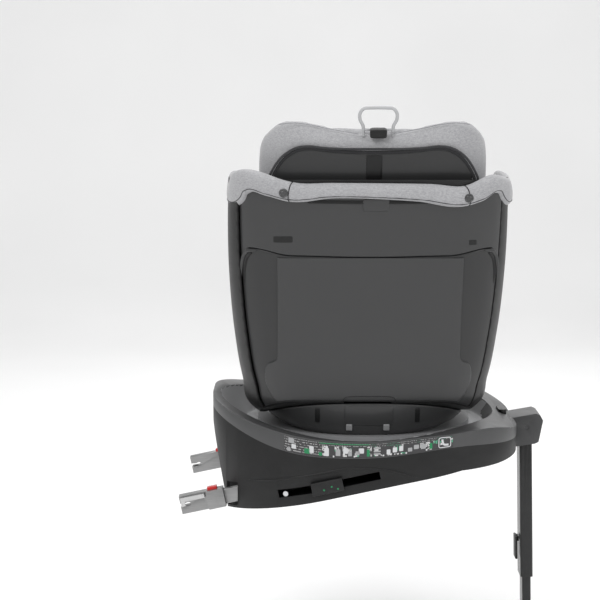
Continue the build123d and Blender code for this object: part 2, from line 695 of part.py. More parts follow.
with BuildPart() as foot_sole:
    rounded_block(LEG, (-30, -45, FOOT_LOW), (30, 45, FOOT_LOW + 4), 12)
save(foot_sole, "foot_sole")
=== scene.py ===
"""Looks of the rotating child car seat: upholstery, shell, base and leg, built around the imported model.

Shapes are worked out in millimetres in the model's own frame and written to the meshes in metres.
"""

import json
import math

import bpy
import bmesh
import numpy as np
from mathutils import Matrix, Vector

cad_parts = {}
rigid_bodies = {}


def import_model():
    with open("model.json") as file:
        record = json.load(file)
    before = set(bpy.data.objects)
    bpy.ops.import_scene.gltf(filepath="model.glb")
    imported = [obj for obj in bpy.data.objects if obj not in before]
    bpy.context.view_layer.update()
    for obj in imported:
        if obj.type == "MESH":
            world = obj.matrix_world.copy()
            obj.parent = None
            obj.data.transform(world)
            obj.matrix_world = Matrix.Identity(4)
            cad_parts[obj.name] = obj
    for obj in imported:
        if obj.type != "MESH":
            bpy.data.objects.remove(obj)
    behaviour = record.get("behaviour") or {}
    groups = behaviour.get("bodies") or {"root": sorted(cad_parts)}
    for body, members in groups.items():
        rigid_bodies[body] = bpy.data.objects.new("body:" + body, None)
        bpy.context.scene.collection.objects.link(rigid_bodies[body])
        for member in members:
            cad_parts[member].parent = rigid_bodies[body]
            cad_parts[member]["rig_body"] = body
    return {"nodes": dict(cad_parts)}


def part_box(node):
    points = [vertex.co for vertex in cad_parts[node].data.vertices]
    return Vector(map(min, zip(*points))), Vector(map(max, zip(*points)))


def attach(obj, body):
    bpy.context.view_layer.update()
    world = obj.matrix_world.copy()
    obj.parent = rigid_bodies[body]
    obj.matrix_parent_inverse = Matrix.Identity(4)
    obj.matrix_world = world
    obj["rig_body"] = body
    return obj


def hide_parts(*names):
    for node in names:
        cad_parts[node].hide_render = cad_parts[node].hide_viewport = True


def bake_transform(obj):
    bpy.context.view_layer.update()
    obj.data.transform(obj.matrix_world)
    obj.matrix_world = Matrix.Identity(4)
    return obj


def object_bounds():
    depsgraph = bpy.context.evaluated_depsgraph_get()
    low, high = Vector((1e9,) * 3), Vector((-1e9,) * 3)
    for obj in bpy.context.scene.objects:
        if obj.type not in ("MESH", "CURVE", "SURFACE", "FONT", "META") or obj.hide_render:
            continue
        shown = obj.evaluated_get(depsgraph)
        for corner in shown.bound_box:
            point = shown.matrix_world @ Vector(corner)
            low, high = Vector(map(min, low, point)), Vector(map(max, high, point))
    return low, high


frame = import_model()
nodes = frame["nodes"]
cad_box = [list(map(float, corner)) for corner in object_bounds()]
scene = bpy.context.scene

# ------------------------------------------------------------------ mesh makers


def smooth_step(t):
    """Goes from 0 to 1 with no slope at either end: three t squared less two t cubed."""
    t = np.clip(t, 0, 1)
    return t * t * (3 - 2 * t)


def bump(t, centre, width):
    """A bell of height 1 at the centre, falling as the exponent of minus the distance over the width, squared."""
    return np.exp(-(((t - centre) / width) ** 2))


def curve_through(stations, values, at):
    """A smooth curve through stations: cubic pieces whose slope at each station is that of its two neighbours."""
    x = np.asarray(stations, float)
    y = np.asarray(values, float)
    slope = np.gradient(y, x, axis=0)
    at = np.clip(np.asarray(at, float), x[0], x[-1])
    k = np.clip(np.searchsorted(x, at, side="right") - 1, 0, len(x) - 2)
    h = x[k + 1] - x[k]
    t = (at - x[k]) / h
    if y.ndim > 1:
        t = t[..., None]
        h = h[..., None]
    rise = y[k] * (2 * t**3 - 3 * t**2 + 1) + y[k + 1] * (3 * t**2 - 2 * t**3)
    return rise + h * slope[k] * (t**3 - 2 * t**2 + t) + h * slope[k + 1] * (t**3 - t**2)


def finish_piece(obj, body, material, replaces=(), sharp=None):
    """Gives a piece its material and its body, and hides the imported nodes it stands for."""
    if material is not None:
        obj.data.materials.clear()
        obj.data.materials.append(material)
    if sharp is not None:
        obj.data.set_sharp_from_angle(angle=math.radians(sharp))
    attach(obj, body)
    if replaces:
        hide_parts(*replaces)
    return obj


def surface(name, points, around_u=False, around_v=False, keep=None, flip=False):
    """A mesh over a grid of points in millimetres; around_ closes the grid in that direction.

    keep is a mask over the grid's cells, where a False cell is left open."""
    grid = np.asarray(points, float) / 1000.0
    nu, nv = grid.shape[:2]
    iu = np.arange(nu if around_u else nu - 1)
    iv = np.arange(nv if around_v else nv - 1)
    a, b = np.meshgrid(iu, iv, indexing="ij")
    a2, b2 = (a + 1) % nu, (b + 1) % nv
    quads = np.stack([a * nv + b, a2 * nv + b, a2 * nv + b2, a * nv + b2], -1)
    if keep is not None:
        quads = quads[keep]
    quads = quads.reshape(-1, 4)
    if flip:
        quads = quads[:, ::-1]
    mesh = bpy.data.meshes.new(name)
    mesh.from_pydata(grid.reshape(-1, 3), [], quads)
    mesh.polygons.foreach_set("use_smooth", np.ones(len(quads), bool))
    obj = bpy.data.objects.new(name, mesh)
    scene.collection.objects.link(obj)
    return obj


def apply_modifiers(obj):
    """Turns a piece's modifiers into mesh."""
    graph = bpy.context.evaluated_depsgraph_get()
    done = bpy.data.meshes.new_from_object(obj.evaluated_get(graph))
    obj.modifiers.clear()
    old = obj.data
    obj.data = done
    bpy.data.meshes.remove(old)
    return obj


def clean(obj, merge=1e-5, outward=True):
    """Merges doubled vertices, drops loose ones and turns the faces outwards."""
    bm = bmesh.new()
    bm.from_mesh(obj.data)
    bmesh.ops.remove_doubles(bm, verts=bm.verts, dist=merge)
    bmesh.ops.dissolve_degenerate(bm, edges=bm.edges, dist=1e-7)
    loose = [v for v in bm.verts if not v.link_faces]
    bmesh.ops.delete(bm, geom=loose, context="VERTS")
    if outward:
        bmesh.ops.recalc_face_normals(bm, faces=bm.faces)
    bm.to_mesh(obj.data)
    bm.free()
    return obj


def walled(obj, thickness, bevel=0.0, offset=-1.0, segments=2):
    """Gives an open surface a wall in millimetres, inwards by default, with its rims rounded."""
    solid = obj.modifiers.new("wall", "SOLIDIFY")
    solid.thickness = thickness / 1000
    solid.offset = offset
    solid.use_even_offset = True
    if bevel:
        edge = obj.modifiers.new("rim", "BEVEL")
        edge.width = bevel / 1000
        edge.segments = segments
        edge.limit_method = "ANGLE"
        edge.angle_limit = math.radians(50)
        edge.harden_normals = True
    return apply_modifiers(obj)


def frames_along(path, up=(0, 0, 1), closed=False):
    """Tangent, side and upright directions at each point of a path, the side across both tangent and up."""
    path = np.asarray(path, float)
    if closed:
        tangent = np.roll(path, -1, 0) - np.roll(path, 1, 0)
    else:
        tangent = np.gradient(path, axis=0)
    tangent /= np.linalg.norm(tangent, axis=1)[:, None] + 1e-12
    side = np.cross(tangent, np.asarray(up, float))
    side /= np.linalg.norm(side, axis=1)[:, None] + 1e-12
    return tangent, side, np.cross(side, tangent)


def sweep(name, path, section, up=(0, 0, 1), closed=False, scale=None):
    """Carries a closed section (side, upright) along a path, closing the ends with a shrunken last ring."""
    path = np.asarray(path, float)
    section = np.asarray(section, float)
    tangent, side, upright = frames_along(path, up, closed)
    size = np.ones(len(path)) if scale is None else np.asarray(scale, float)
    ring = section[None, :, :] * size[:, None, None]
    points = path[:, None, :] + ring[..., :1] * side[:, None, :] + ring[..., 1:] * upright[:, None, :]
    if not closed:
        points = np.concatenate([np.repeat(path[:1, None], len(section), 1), points,
            np.repeat(path[-1:, None], len(section), 1)])
    obj = surface(name, points, around_u=closed, around_v=True)
    return clean(obj)


def ellipse_section(half_a, half_b, power=2.0, count=24):
    """A closed superellipse: each half size times cosine or sine raised to two over the power."""
    t = np.linspace(0, 2 * np.pi, count, endpoint=False)
    c, s = np.cos(t), np.sin(t)
    return np.stack([half_a * np.sign(c) * np.abs(c) ** (2 / power),
        half_b * np.sign(s) * np.abs(s) ** (2 / power)], 1)


def softened(node, width, material, segments=2, name=None):
    """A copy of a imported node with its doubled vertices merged, flat faces joined and its edges rounded."""
    source = nodes[node]
    obj = bpy.data.objects.new(name or node + "_finished", source.data.copy())
    scene.collection.objects.link(obj)
    bm = bmesh.new()
    bm.from_mesh(obj.data)
    bmesh.ops.remove_doubles(bm, verts=bm.verts, dist=2e-6)
    bmesh.ops.dissolve_limit(bm, angle_limit=math.radians(1.0), verts=bm.verts, edges=bm.edges)
    bm.to_mesh(obj.data)
    bm.free()
    edge = obj.modifiers.new("edges", "BEVEL")
    edge.width = width / 1000
    edge.segments = segments
    edge.limit_method = "ANGLE"
    edge.angle_limit = math.radians(35)
    edge.use_clamp_overlap = True
    apply_modifiers(obj)
    obj.data.polygons.foreach_set("use_smooth", np.ones(len(obj.data.polygons), bool))
    return finish_piece(obj, nodes[node]["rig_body"], material, [node], sharp=32)


# ------------------------------------------------------------------ materials


def node_group(name, inputs, outputs):
    """An empty shader group with named sockets, and its two end nodes."""
    tree = bpy.data.node_groups.new(name, "ShaderNodeTree")
    for label, kind, value in inputs:
        socket = tree.interface.new_socket(name=label, in_out="INPUT", socket_type="NodeSocket" + kind)
        socket.default_value = value
    for label, kind in outputs:
        tree.interface.new_socket(name=label, in_out="OUTPUT", socket_type="NodeSocket" + kind)
    return tree, tree.nodes.new("NodeGroupInput"), tree.nodes.new("NodeGroupOutput")


class Shade:
    """Short ways to add nodes to one tree."""

    def __init__(self, tree):
        self.tree = tree

    def node(self, kind, links=None, **settings):
        made = self.tree.nodes.new("ShaderNode" + kind)
        for key, value in settings.items():
            setattr(made, key, value)
        for key, value in (links or {}).items():
            if isinstance(value, bpy.types.NodeSocket):
                self.tree.links.new(value, made.inputs[key])
            else:
                made.inputs[key].default_value = value
        return made

    def math(self, operation, first, second=0.0, third=None):
        links = {0: first, 1: second}
        if third is not None:
            links[2] = third
        return self.node("Math", links, operation=operation).outputs[0]

    def mix(self, factor, first, second, blend="MIX"):
        made = self.node("Mix", data_type="RGBA", blend_type=blend)
        for key, value in ((0, factor), (6, first), (7, second)):
            if isinstance(value, bpy.types.NodeSocket):
                self.tree.links.new(value, made.inputs[key])
            else:
                made.inputs[key].default_value = value
        return made.outputs[2]

    def ramp(self, factor, low, high, from_value=0.0, to_value=1.0):
        made = self.node("MapRange", {0: factor, 1: low, 2: high, 3: from_value, 4: to_value})
        made.clamp = True
        return made.outputs[0]


def build_grain_group():
    """Moulded plastic: fine spark-eroded grain, slow tone drift, handling marks and paler rubbed edges."""
    tree, start, end = node_group(
        "moulded grain",
        [("Coords", "Vector", (0, 0, 0)), ("Grain Size", "Float", 1800.0), ("Base", "Color", (0.1, 0.1, 0.1, 1)),
         ("Drift", "Float", 0.12), ("Edge", "Float", 0.5), ("Roughness", "Float", 0.45), ("Smudge", "Float", 0.12)],
        [("Color", "Color"), ("Roughness", "Float"), ("Height", "Float")],
    )
    s = Shade(tree)
    grain = s.node("TexVoronoi", {"Vector": start.outputs["Coords"],
        "Scale": start.outputs["Grain Size"]}).outputs["Distance"]
    drift = s.node("TexNoise", {"Vector": start.outputs["Coords"], "Scale": 9.0, "Detail": 4.0}).outputs["Fac"]
    marks = s.node("TexNoise", {"Vector": start.outputs["Coords"], "Scale": 46.0, "Detail": 6.0,
        "Roughness": 0.7}).outputs["Fac"]
    point = s.node("NewGeometry").outputs["Pointiness"]
    edge = s.math("MULTIPLY", s.ramp(point, 0.52, 0.62), start.outputs["Edge"])
    edge = s.math("MULTIPLY", edge, s.ramp(marks, 0.35, 0.6))
    tone = s.math("MULTIPLY_ADD", s.math("SUBTRACT", drift, 0.5), start.outputs["Drift"], 1.0)
    tone_colour = s.node("CombineColor", {0: tone, 1: tone, 2: tone}).outputs[0]
    colour = s.mix(1.0, start.outputs["Base"], tone_colour, "MULTIPLY")
    paler = s.mix(1.0, colour, (0.045, 0.045, 0.047, 1), "ADD")
    colour = s.mix(edge, colour, paler)
    smudge = s.math("MULTIPLY", s.math("SUBTRACT", marks, 0.5), start.outputs["Smudge"])
    rough = s.math("ADD", start.outputs["Roughness"], smudge)
    rough = s.math("ADD", rough, s.math("MULTIPLY", s.math("SUBTRACT", drift, 0.5), 0.1))
    tree.links.new(colour, end.inputs["Color"])
    tree.links.new(rough, end.inputs["Roughness"])
    tree.links.new(grain, end.inputs["Height"])
    return tree


def build_cloth_group():
    """Knitted melange cloth: crossing threads as products of sines, pale and dark flecks, soft pilling."""
    tree, start, end = node_group(
        "melange cloth",
        [("Coords", "Vector", (0, 0, 0)), ("Threads", "Float", 2600.0), ("Light", "Color", (0.5, 0.5, 0.5, 1)),
         ("Dark", "Color", (0.2, 0.2, 0.2, 1)), ("Fleck", "Float", 0.5), ("Roughness", "Float", 0.9)],
        [("Color", "Color"), ("Roughness", "Float"), ("Height", "Float")],
    )
    s = Shade(tree)
    split = s.node("SeparateXYZ", {0: start.outputs["Coords"]}).outputs
    waves = [s.math("SINE", s.math("MULTIPLY", axis, start.outputs["Threads"])) for axis in split]
    pairs = [s.math("MULTIPLY", waves[i], waves[(i + 1) % 3]) for i in range(3)]
    weave = s.math("ADD", s.math("ADD", pairs[0], pairs[1]), pairs[2])
    fine = s.node("TexNoise", {"Vector": start.outputs["Coords"], "Scale": 620.0, "Detail": 3.0,
        "Roughness": 0.7}).outputs["Fac"]
    stretch = s.node("Mapping", {0: start.outputs["Coords"], 3: (1.0, 1.0, 3.2)}).outputs[0]
    streak = s.node("TexNoise", {"Vector": stretch, "Scale": 240.0, "Detail": 2.0}).outputs["Fac"]
    broad = s.node("TexNoise", {"Vector": start.outputs["Coords"], "Scale": 14.0, "Detail": 3.0}).outputs["Fac"]
    fleck = s.math("ADD", s.math("MULTIPLY", fine, 0.55), s.math("MULTIPLY", streak, 0.45))
    fleck = s.ramp(fleck, 0.36, 0.64)
    fleck = s.math("MULTIPLY_ADD", s.math("SUBTRACT", fleck, 0.5), start.outputs["Fleck"], 0.5)
    fleck = s.math("ADD", fleck, s.math("MULTIPLY", s.math("SUBTRACT", broad, 0.5), 0.25))
    colour = s.mix(fleck, start.outputs["Dark"], start.outputs["Light"])
    height = s.math("ADD", s.math("MULTIPLY", weave, 0.35), s.math("MULTIPLY", fine, 0.6))
    rough = s.math("ADD", start.outputs["Roughness"], s.math("MULTIPLY", s.math("SUBTRACT", fine, 0.5), 0.15))
    tree.links.new(colour, end.inputs["Color"])
    tree.links.new(rough, end.inputs["Roughness"])
    tree.links.new(height, end.inputs["Height"])
    return tree


GRAIN = build_grain_group()
CLOTH = build_cloth_group()


def new_material(name, principled):
    """A material with a Principled shader, its plain values set, and its helper."""
    material = bpy.data.materials.new(name)
    material.use_nodes = True
    tree = material.node_tree
    tree.nodes.clear()
    s = Shade(tree)
    shader = s.node("BsdfPrincipled", principled)
    out = s.node("OutputMaterial", {0: shader.outputs[0]})
    out.is_active_output = True
    return material, s, shader


def wire(s, shader, group, values, bump_strength, bump_mm):
    """Places an effect group on Object coordinates and feeds colour, roughness and bump from it."""
    coords = s.node("TexCoord").outputs["Object"]
    placed = s.node("Group")
    placed.node_tree = group
    s.tree.links.new(coords, placed.inputs["Coords"])
    for key, value in values.items():
        placed.inputs[key].default_value = value
    s.tree.links.new(placed.outputs["Color"], shader.inputs["Base Color"])
    s.tree.links.new(placed.outputs["Roughness"], shader.inputs["Roughness"])
    relief = s.node("Bump", {"Strength": bump_strength, "Distance": bump_mm / 1000,
        "Height": placed.outputs["Height"]})
    s.tree.links.new(relief.outputs[0], shader.inputs["Normal"])
    return placed


def plastic(name, grey, roughness, grain=1800.0, depth=0.06, edge=0.4, coat=0.0, drift=0.12, strength=0.35,
    tint=None):
    """Moulded plastic of one tone."""
    principled = {"IOR": 1.46, "Specular IOR Level": 0.38}
    if coat:
        principled.update({"Coat Weight": coat, "Coat Roughness": 0.12})
    material, s, shader = new_material(name, principled)
    colour = (*(tint or (grey, grey * 1.01, grey * 1.03)), 1)
    wire(s, shader, GRAIN, {"Grain Size": grain, "Base": colour, "Edge": edge, "Roughness": roughness,
        "Drift": drift}, strength, depth)
    return material


def cloth(name, light, dark, fleck=0.6, threads=2600.0, roughness=0.92, sheen=0.35, strength=0.5, depth=0.3):
    """Woven or knitted cloth of two thread colours."""
    material, s, shader = new_material(name, {"Sheen Weight": sheen, "Sheen Roughness": 0.45, "IOR": 1.4})
    values = {"Threads": threads, "Light": (*light, 1), "Dark": (*dark, 1), "Fleck": fleck, "Roughness": roughness}
    wire(s, shader, CLOTH, values, strength, depth)
    return material


def metal(name, grey, roughness, brushed=(1.0, 60.0, 60.0)):
    """Brushed or plated metal: stretched noise for the brushing and tarnish in its roughness."""
    material, s, shader = new_material(name, {"Metallic": 1.0})
    coords = s.node("TexCoord").outputs["Object"]
    lines = s.node("TexNoise", {"Vector": s.node("Mapping", {0: coords, 3: brushed}).outputs[0], "Scale": 40.0,
        "Detail": 4.0}).outputs["Fac"]
    broad = s.node("TexNoise", {"Vector": coords, "Scale": 30.0, "Detail": 3.0}).outputs["Fac"]
    tone = s.ramp(lines, 0.3, 0.7, grey * 0.85, grey * 1.1)
    s.tree.links.new(s.node("CombineColor", {0: tone, 1: tone, 2: tone}).outputs[0], shader.inputs["Base Color"])
    rough = s.math("ADD", s.ramp(lines, 0.3, 0.7, roughness - 0.06, roughness + 0.06),
        s.ramp(broad, 0.4, 0.7, 0.0, 0.1))
    s.tree.links.new(rough, shader.inputs["Roughness"])
    relief = s.node("Bump", {"Strength": 0.15, "Distance": 0.0001, "Height": lines})
    s.tree.links.new(relief.outputs[0], shader.inputs["Normal"])
    return material


base_black = plastic("base_black", 0.007, 0.5, grain=1500, depth=0.08, edge=0.3)
rim_grey = plastic("rim_grey", 0.06, 0.42, grain=1500, depth=0.05, edge=0.35)
deck_grey = plastic("deck_grey", 0.34, 0.45, grain=1500, depth=0.05, edge=0.4)
shell_charcoal = plastic("shell_charcoal", 0.03, 0.34, grain=2400, depth=0.03, edge=0.4, coat=0.25, strength=0.2)
shell_plate = plastic("shell_plate", 0.034, 0.36, grain=2400, depth=0.03, edge=0.4, coat=0.2, strength=0.2)
rim_black = plastic("rim_black", 0.006, 0.4, grain=1800, depth=0.05, edge=0.25)
panel_dark = plastic("panel_dark", 0.022, 0.42, grain=2200, depth=0.04, edge=0.3, coat=0.15)
trim_light = plastic("trim_light", 0.4, 0.35, grain=2600, depth=0.03, edge=0.1)
mech_grey = plastic("mech_grey", 0.22, 0.42, grain=1600, depth=0.05)
foot_rubber = plastic("foot_rubber", 0.02, 0.75, grain=700, depth=0.3, edge=0.1, strength=0.6)
button_red = plastic("button_red", 0.3, 0.3, tint=(0.55, 0.012, 0.01), coat=0.3, edge=0.2)
leg_coat = plastic("leg_coat", 0.009, 0.33, grain=3200, depth=0.05, edge=0.5, coat=0.2, strength=0.4)
arm_coat = plastic("arm_coat", 0.05, 0.42, grain=1800, depth=0.05, edge=0.35)
stud_grey = plastic("stud_grey", 0.05, 0.35, grain=2600, depth=0.02, edge=0.3, coat=0.3)
steel = metal("steel", 0.55, 0.3)
steel_dark = metal("steel_dark", 0.3, 0.38)
cloth_grey = cloth("cloth_grey", (0.44, 0.44, 0.45), (0.22, 0.22, 0.23))
cloth_soft = cloth("cloth_soft", (0.36, 0.36, 0.37), (0.17, 0.17, 0.18), threads=2000.0)
cloth_dark = cloth("cloth_dark", (0.05, 0.05, 0.053), (0.018, 0.018, 0.02), fleck=0.5, sheen=0.2)
piping_dark = cloth("piping_dark", (0.03, 0.03, 0.032), (0.01, 0.01, 0.011), fleck=0.4, sheen=0.15)
strap_black = cloth("strap_black", (0.04, 0.04, 0.042), (0.012, 0.012, 0.013), fleck=0.4, threads=3600.0, sheen=0.15)

# ------------------------------------------------------------------ the seat shell

# Height, half width, rear face, front face and corner size of the shell's outline at that height.
SHELL = np.array([
    (80, 126, -118, 146, 66), (88, 140, -136, 160, 70), (120, 184, -172, 206, 78), (170, 197, -200, 232, 80),
        (250, 209, -223, 244, 82),
    (350, 216, -249.8, 242, 84), (450, 216, -276.6, 232, 84), (512, 213, -293.2, 226, 84), (530, 211, -298, 224, 84),
], float)
# The front edge of the shell's sides, from its top down to the lap: depth and height.
WING = np.array([(-150, 530), (-112, 495), (-62, 430), (-15, 340), (60, 262), (150, 216), (220, 200), (300, 196)],
    float)


def shell_outline(z, q, out=0.0):
    """Point of the shell's outline at height z: q from 0 at the middle of the back to 1 at the middle of the front.

    Each quarter is a straight run joined to a quarter of a circle of the corner size, all moved outwards by out."""
    z, q = np.broadcast_arrays(np.asarray(z, float), np.asarray(q, float))
    half, rear, front, corner = [curve_through(SHELL[:, 0], SHELL[:, k], z) for k in (1, 2, 3, 4)]
    half, rear, front, corner = half + out, rear - out, front + out, corner + out
    sign = np.where(q < 0, -1.0, 1.0)
    arc = corner * np.pi / 2
    back_run = half - corner
    side_run = (front - corner) - (rear + corner)
    total = 2 * back_run + 2 * arc + side_run
    d = np.abs(q) * total
    x = np.minimum(d, back_run)
    y = rear.copy()
    a = np.clip((d - back_run) / arc, 0, 1) * np.pi / 2
    x = x + corner * np.sin(a)
    y = y + corner * (1 - np.cos(a))
    y = y + np.clip(d - back_run - arc, 0, side_run)
    b = np.clip((d - back_run - arc - side_run) / arc, 0, 1) * np.pi / 2
    y = y + corner * np.sin(b)
    x = x - corner * (1 - np.cos(b))
    x = x - np.clip(d - back_run - 2 * arc - side_run, 0, None)
    return np.stack([sign * x, y, z], -1)


def under_arc(y, inset=0.0):
    """Height of the shell's underside: the lower half of a circle of radius 424 about depth 0, height 520."""
    return 520 - np.sqrt(np.clip((424 - inset) ** 2 - np.asarray(y, float) ** 2, 1, None))


def wing_height(y):
    """Height of the shell's front edge at that depth."""
    return curve_through(WING[:, 0], WING[:, 1], y)


def shell_sheet(name, q_low, q_high, z_low, z_high, out=0.0, nu=96, nv=60, wall=3.0, rim=0.8):
    """A panel of the shell between two places around it and two heights, each a number or a function of the other.

    At each place the height runs from the greater of z_low and the underside to the lesser of z_high and the front edge."""
    u = np.linspace(0, 1, nu)[:, None]
    v = np.linspace(0, 1, nv)[None, :]
    q = q_low + (q_high - q_low) * u
    low = np.full((nu, 1), 0.0)
    for _ in range(12):
        at_low = shell_outline(np.maximum(low, 88), q, out)
        low = np.maximum(z_low(at_low) if callable(z_low) else z_low, under_arc(at_low[..., 1]))
    high = low + 300.0
    for _ in range(30):
        at_high = shell_outline(high, q, out)
        goal = np.minimum(z_high(at_high) if callable(z_high) else z_high, wing_height(at_high[..., 1]))
        high = 0.5 * high + 0.5 * np.maximum(goal, low + 1)
    z = low + (high - low) * v
    obj = surface(name, shell_outline(z, q, out))
    clean(obj, outward=False)
    return walled(obj, wall, rim) if wall else obj


def plate_half(z):
    """Half width of the raised plate behind the back: straight, then stepping out round the foot of the side panels."""
    return curve_through([96, 110, 135, 157, 179, 190, 199, 205, 208, 212, 216, 230, 380],
        [112, 124, 144.5, 158, 164, 163.5, 161.5, 156.5, 149, 145, 143.6, 143.2, 143.2], z)


def back_surface(x, z, out=0.0):
    """A point of the shell's back at that side position and height, moved outwards by out.

    The rear face is flat across its middle, then follows the corner's quarter circle."""
    half, rear, corner = [curve_through(SHELL[:, 0], SHELL[:, k], z) for k in (1, 2, 4)]
    over = np.clip(np.abs(x) - (half - corner), 0, corner * 0.995)
    y = rear + corner - np.sqrt(np.clip((corner + out) ** 2 - over**2, 0, None))
    return np.stack([x, y, z + 0 * x], -1)


def patch(name, left, right, low, high, out, nu=90, nv=110, wall=2.0, rim=0.7):
    """A panel of the back between two side edges (functions of height) and two heights, standing out by out.

    Its foot is the greater of the lower height and the underside arc, so that it clears the cradle as the seat reclines."""
    t = np.linspace(0, 1, nu)[:, None]
    foot = np.full(t.shape, float(low))
    for _ in range(10):
        foot = np.maximum(low, under_arc(back_surface(left(foot) + (right(foot) - left(foot)) * t, foot, out)[...,
            1], 1.0))
    z = foot + (high - foot) * np.linspace(0, 1, nv)[None, :]
    x = left(z) + (right(z) - left(z)) * t
    obj = surface(name, back_surface(x, z, out))
    return walled(obj, wall, rim)


def seam_height(p):
    """Height of the seam across the back: level, a little lower in the middle, and dropping at its two ends."""
    x = np.abs(p[..., 0])
    return 381.5 - 3.5 * np.exp(-((x / 95) ** 2)) + 10 * smooth_step((x - 120) / 60) - 22 * smooth_step((x - 186) / 16)


Q_SIDE = 0.245
upper = shell_sheet("shell_back_upper", -Q_SIDE, Q_SIDE, lambda p: seam_height(p) + 0.7, 484.0, nu=180, nv=50,
    wall=3.4, rim=1.1)
finish_piece(upper, "seat", shell_charcoal, ["back_cover_upper"], sharp=40)
lower = shell_sheet("shell_back_lower", -Q_SIDE, Q_SIDE, 60.0, lambda p: seam_height(p) - 0.7, out=-0.6, nu=180,
    nv=80, wall=3.4, rim=1.1)
finish_piece(lower, "seat", panel_dark, ["back_cover_lower"], sharp=40)
plate = patch("shell_centre_plate", lambda z: -plate_half(z), plate_half, 99.0, 377.5, 1.6, nu=140, nv=170,
    wall=2.6, rim=1.2)
finish_piece(plate, "seat", shell_plate, ["centre_back_plate"], sharp=40)
for side, sign in (("left", -1), ("right", 1)):
    rim_piece = shell_sheet("shell_side_" + side, sign * Q_SIDE, sign * 0.79, 60.0, 499.0, out=0.6, nu=120, nv=70,
        wall=4.4, rim=1.6)
    if sign > 0:
        rim_piece.data.flip_normals()
    finish_piece(rim_piece, "seat", rim_black, ["side_cover_" + side], sharp=40)

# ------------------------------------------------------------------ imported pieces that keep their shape, with rounded edges

FINISHES = {
    "base_lower_housing": (0.9, base_black, "black_plastic"), "base_rim": (1.2, rim_grey, "rim_plastic"),
        "base_deck": (0.8, deck_grey, "grey_plastic"),
    "leg_arm": (1.6, arm_coat, "rim_plastic"), "anchor_guides": (0.5, base_black, "black_plastic"),
    "rotation_button": (1.2, rim_black, "black_plastic"),
    "recline_lever": (1.5, rim_black, "black_plastic"), "buckle_body": (1.6, rim_black, "black_plastic"),
    "buckle_button": (0.9, button_red, "red_plastic"),
    "adjuster_housing": (1.5, rim_black, "black_plastic"), "adjuster_button": (0.8, mech_grey, "grey_plastic"),
    "slide_knobs": (1.2, base_black, "black_plastic"), "latch_housing_left": (0.8, steel_dark, "steel"),
    "latch_housing_right": (0.8, steel_dark, "steel"),
    "latch_button_left": (0.7, button_red, "red_plastic"), "latch_button_right": (0.7, button_red, "red_plastic"),
    "leg_outer_tube": (1.4, leg_coat, "leg_metal"),
    "leg_inner_tube": (1.0, leg_coat, "leg_metal"), "leg_lever": (1.0, base_black, "black_plastic"),
    "leg_foot": (2.0, base_black, "black_plastic"),
    "foot_sole": (1.2, foot_rubber, "rubber"), 
    "harness_tongue_left": (0.5, steel, "steel"), "harness_tongue_right": (0.5, steel, "steel"),
    "anchor_arms": (0.6, steel_dark, "steel"),
    "front_cover": (1.0, shell_charcoal, "charcoal_shell"),
}
KEPT = {
    "deck_screws": steel_dark, "leg_pivot_pin": arm_coat, "turntable_disc": mech_grey,
        "turntable_retainer": steel_dark, "recline_rails": mech_grey,
    "shell_runners": base_black, "anchor_cross_tube": steel_dark, "latch_pins": steel, "latch_jaw_left": steel,
    "latch_jaw_right": steel,
    "seat_bucket": rim_black, "seat_foam": cloth_dark, "recline_cradle": shell_charcoal,
}
for node, (width, material, slot) in FINISHES.items():
    softened(node, width, material)
for node, material in KEPT.items():
    nodes[node].data.materials.clear()
    nodes[node].data.materials.append(material)

# ------------------------------------------------------------------ cradle, rails and details on the shell



def cradle_ring(a, f):
    """Bowl under the shell: half width and half depth grow with height, its outline a superellipse of power 2.8."""
    c, s_ = np.cos(a), np.sin(a)
    half_x = 112 + 71 * np.sqrt(np.clip(1 - (1 - np.clip(f, 0, 1)) ** 2, 0, 1))
    return np.stack([half_x * np.sign(s_) * np.abs(s_) ** 0.71, -(167 + 14 * f) * np.sign(c) * np.abs(c) ** 0.71,
        80 + 56 * f], -1)


rail_z = np.linspace(0, 1, 26)[None, :]
ang = np.linspace(0, 2 * np.pi, 240, endpoint=False)[:, None]
top = np.full((240, 1), 130.0)
for _ in range(8):
    ring_depth = cradle_ring(ang, (top - 80) / 56)[..., 1]
    top = np.clip(under_arc(ring_depth, -2.2), 97, 136)
f = (80.5 + (top - 80.5) * rail_z - 80) / 56
points = cradle_ring(ang + 0 * f, f)
cradle = surface("cradle_bowl", points, around_u=True)
clean(cradle)
walled(cradle, 3.5, 1.0)
finish_piece(cradle, "turntable", shell_plate, ["recline_cradle"], sharp=40)


def back_strip(name, path_x, path_z, half_wide, half_deep, out, material, body="seat", power=2.4):
    """A bar lying along a line on the shell's back, its section a superellipse, its middle out from the surface by out."""
    path = back_surface(np.asarray(path_x, float), np.asarray(path_z, float), out)
    piece = sweep(name, path, ellipse_section(half_wide, half_deep, power, 14), up=(0, 1, 0.0))
    return finish_piece(piece, body, material)


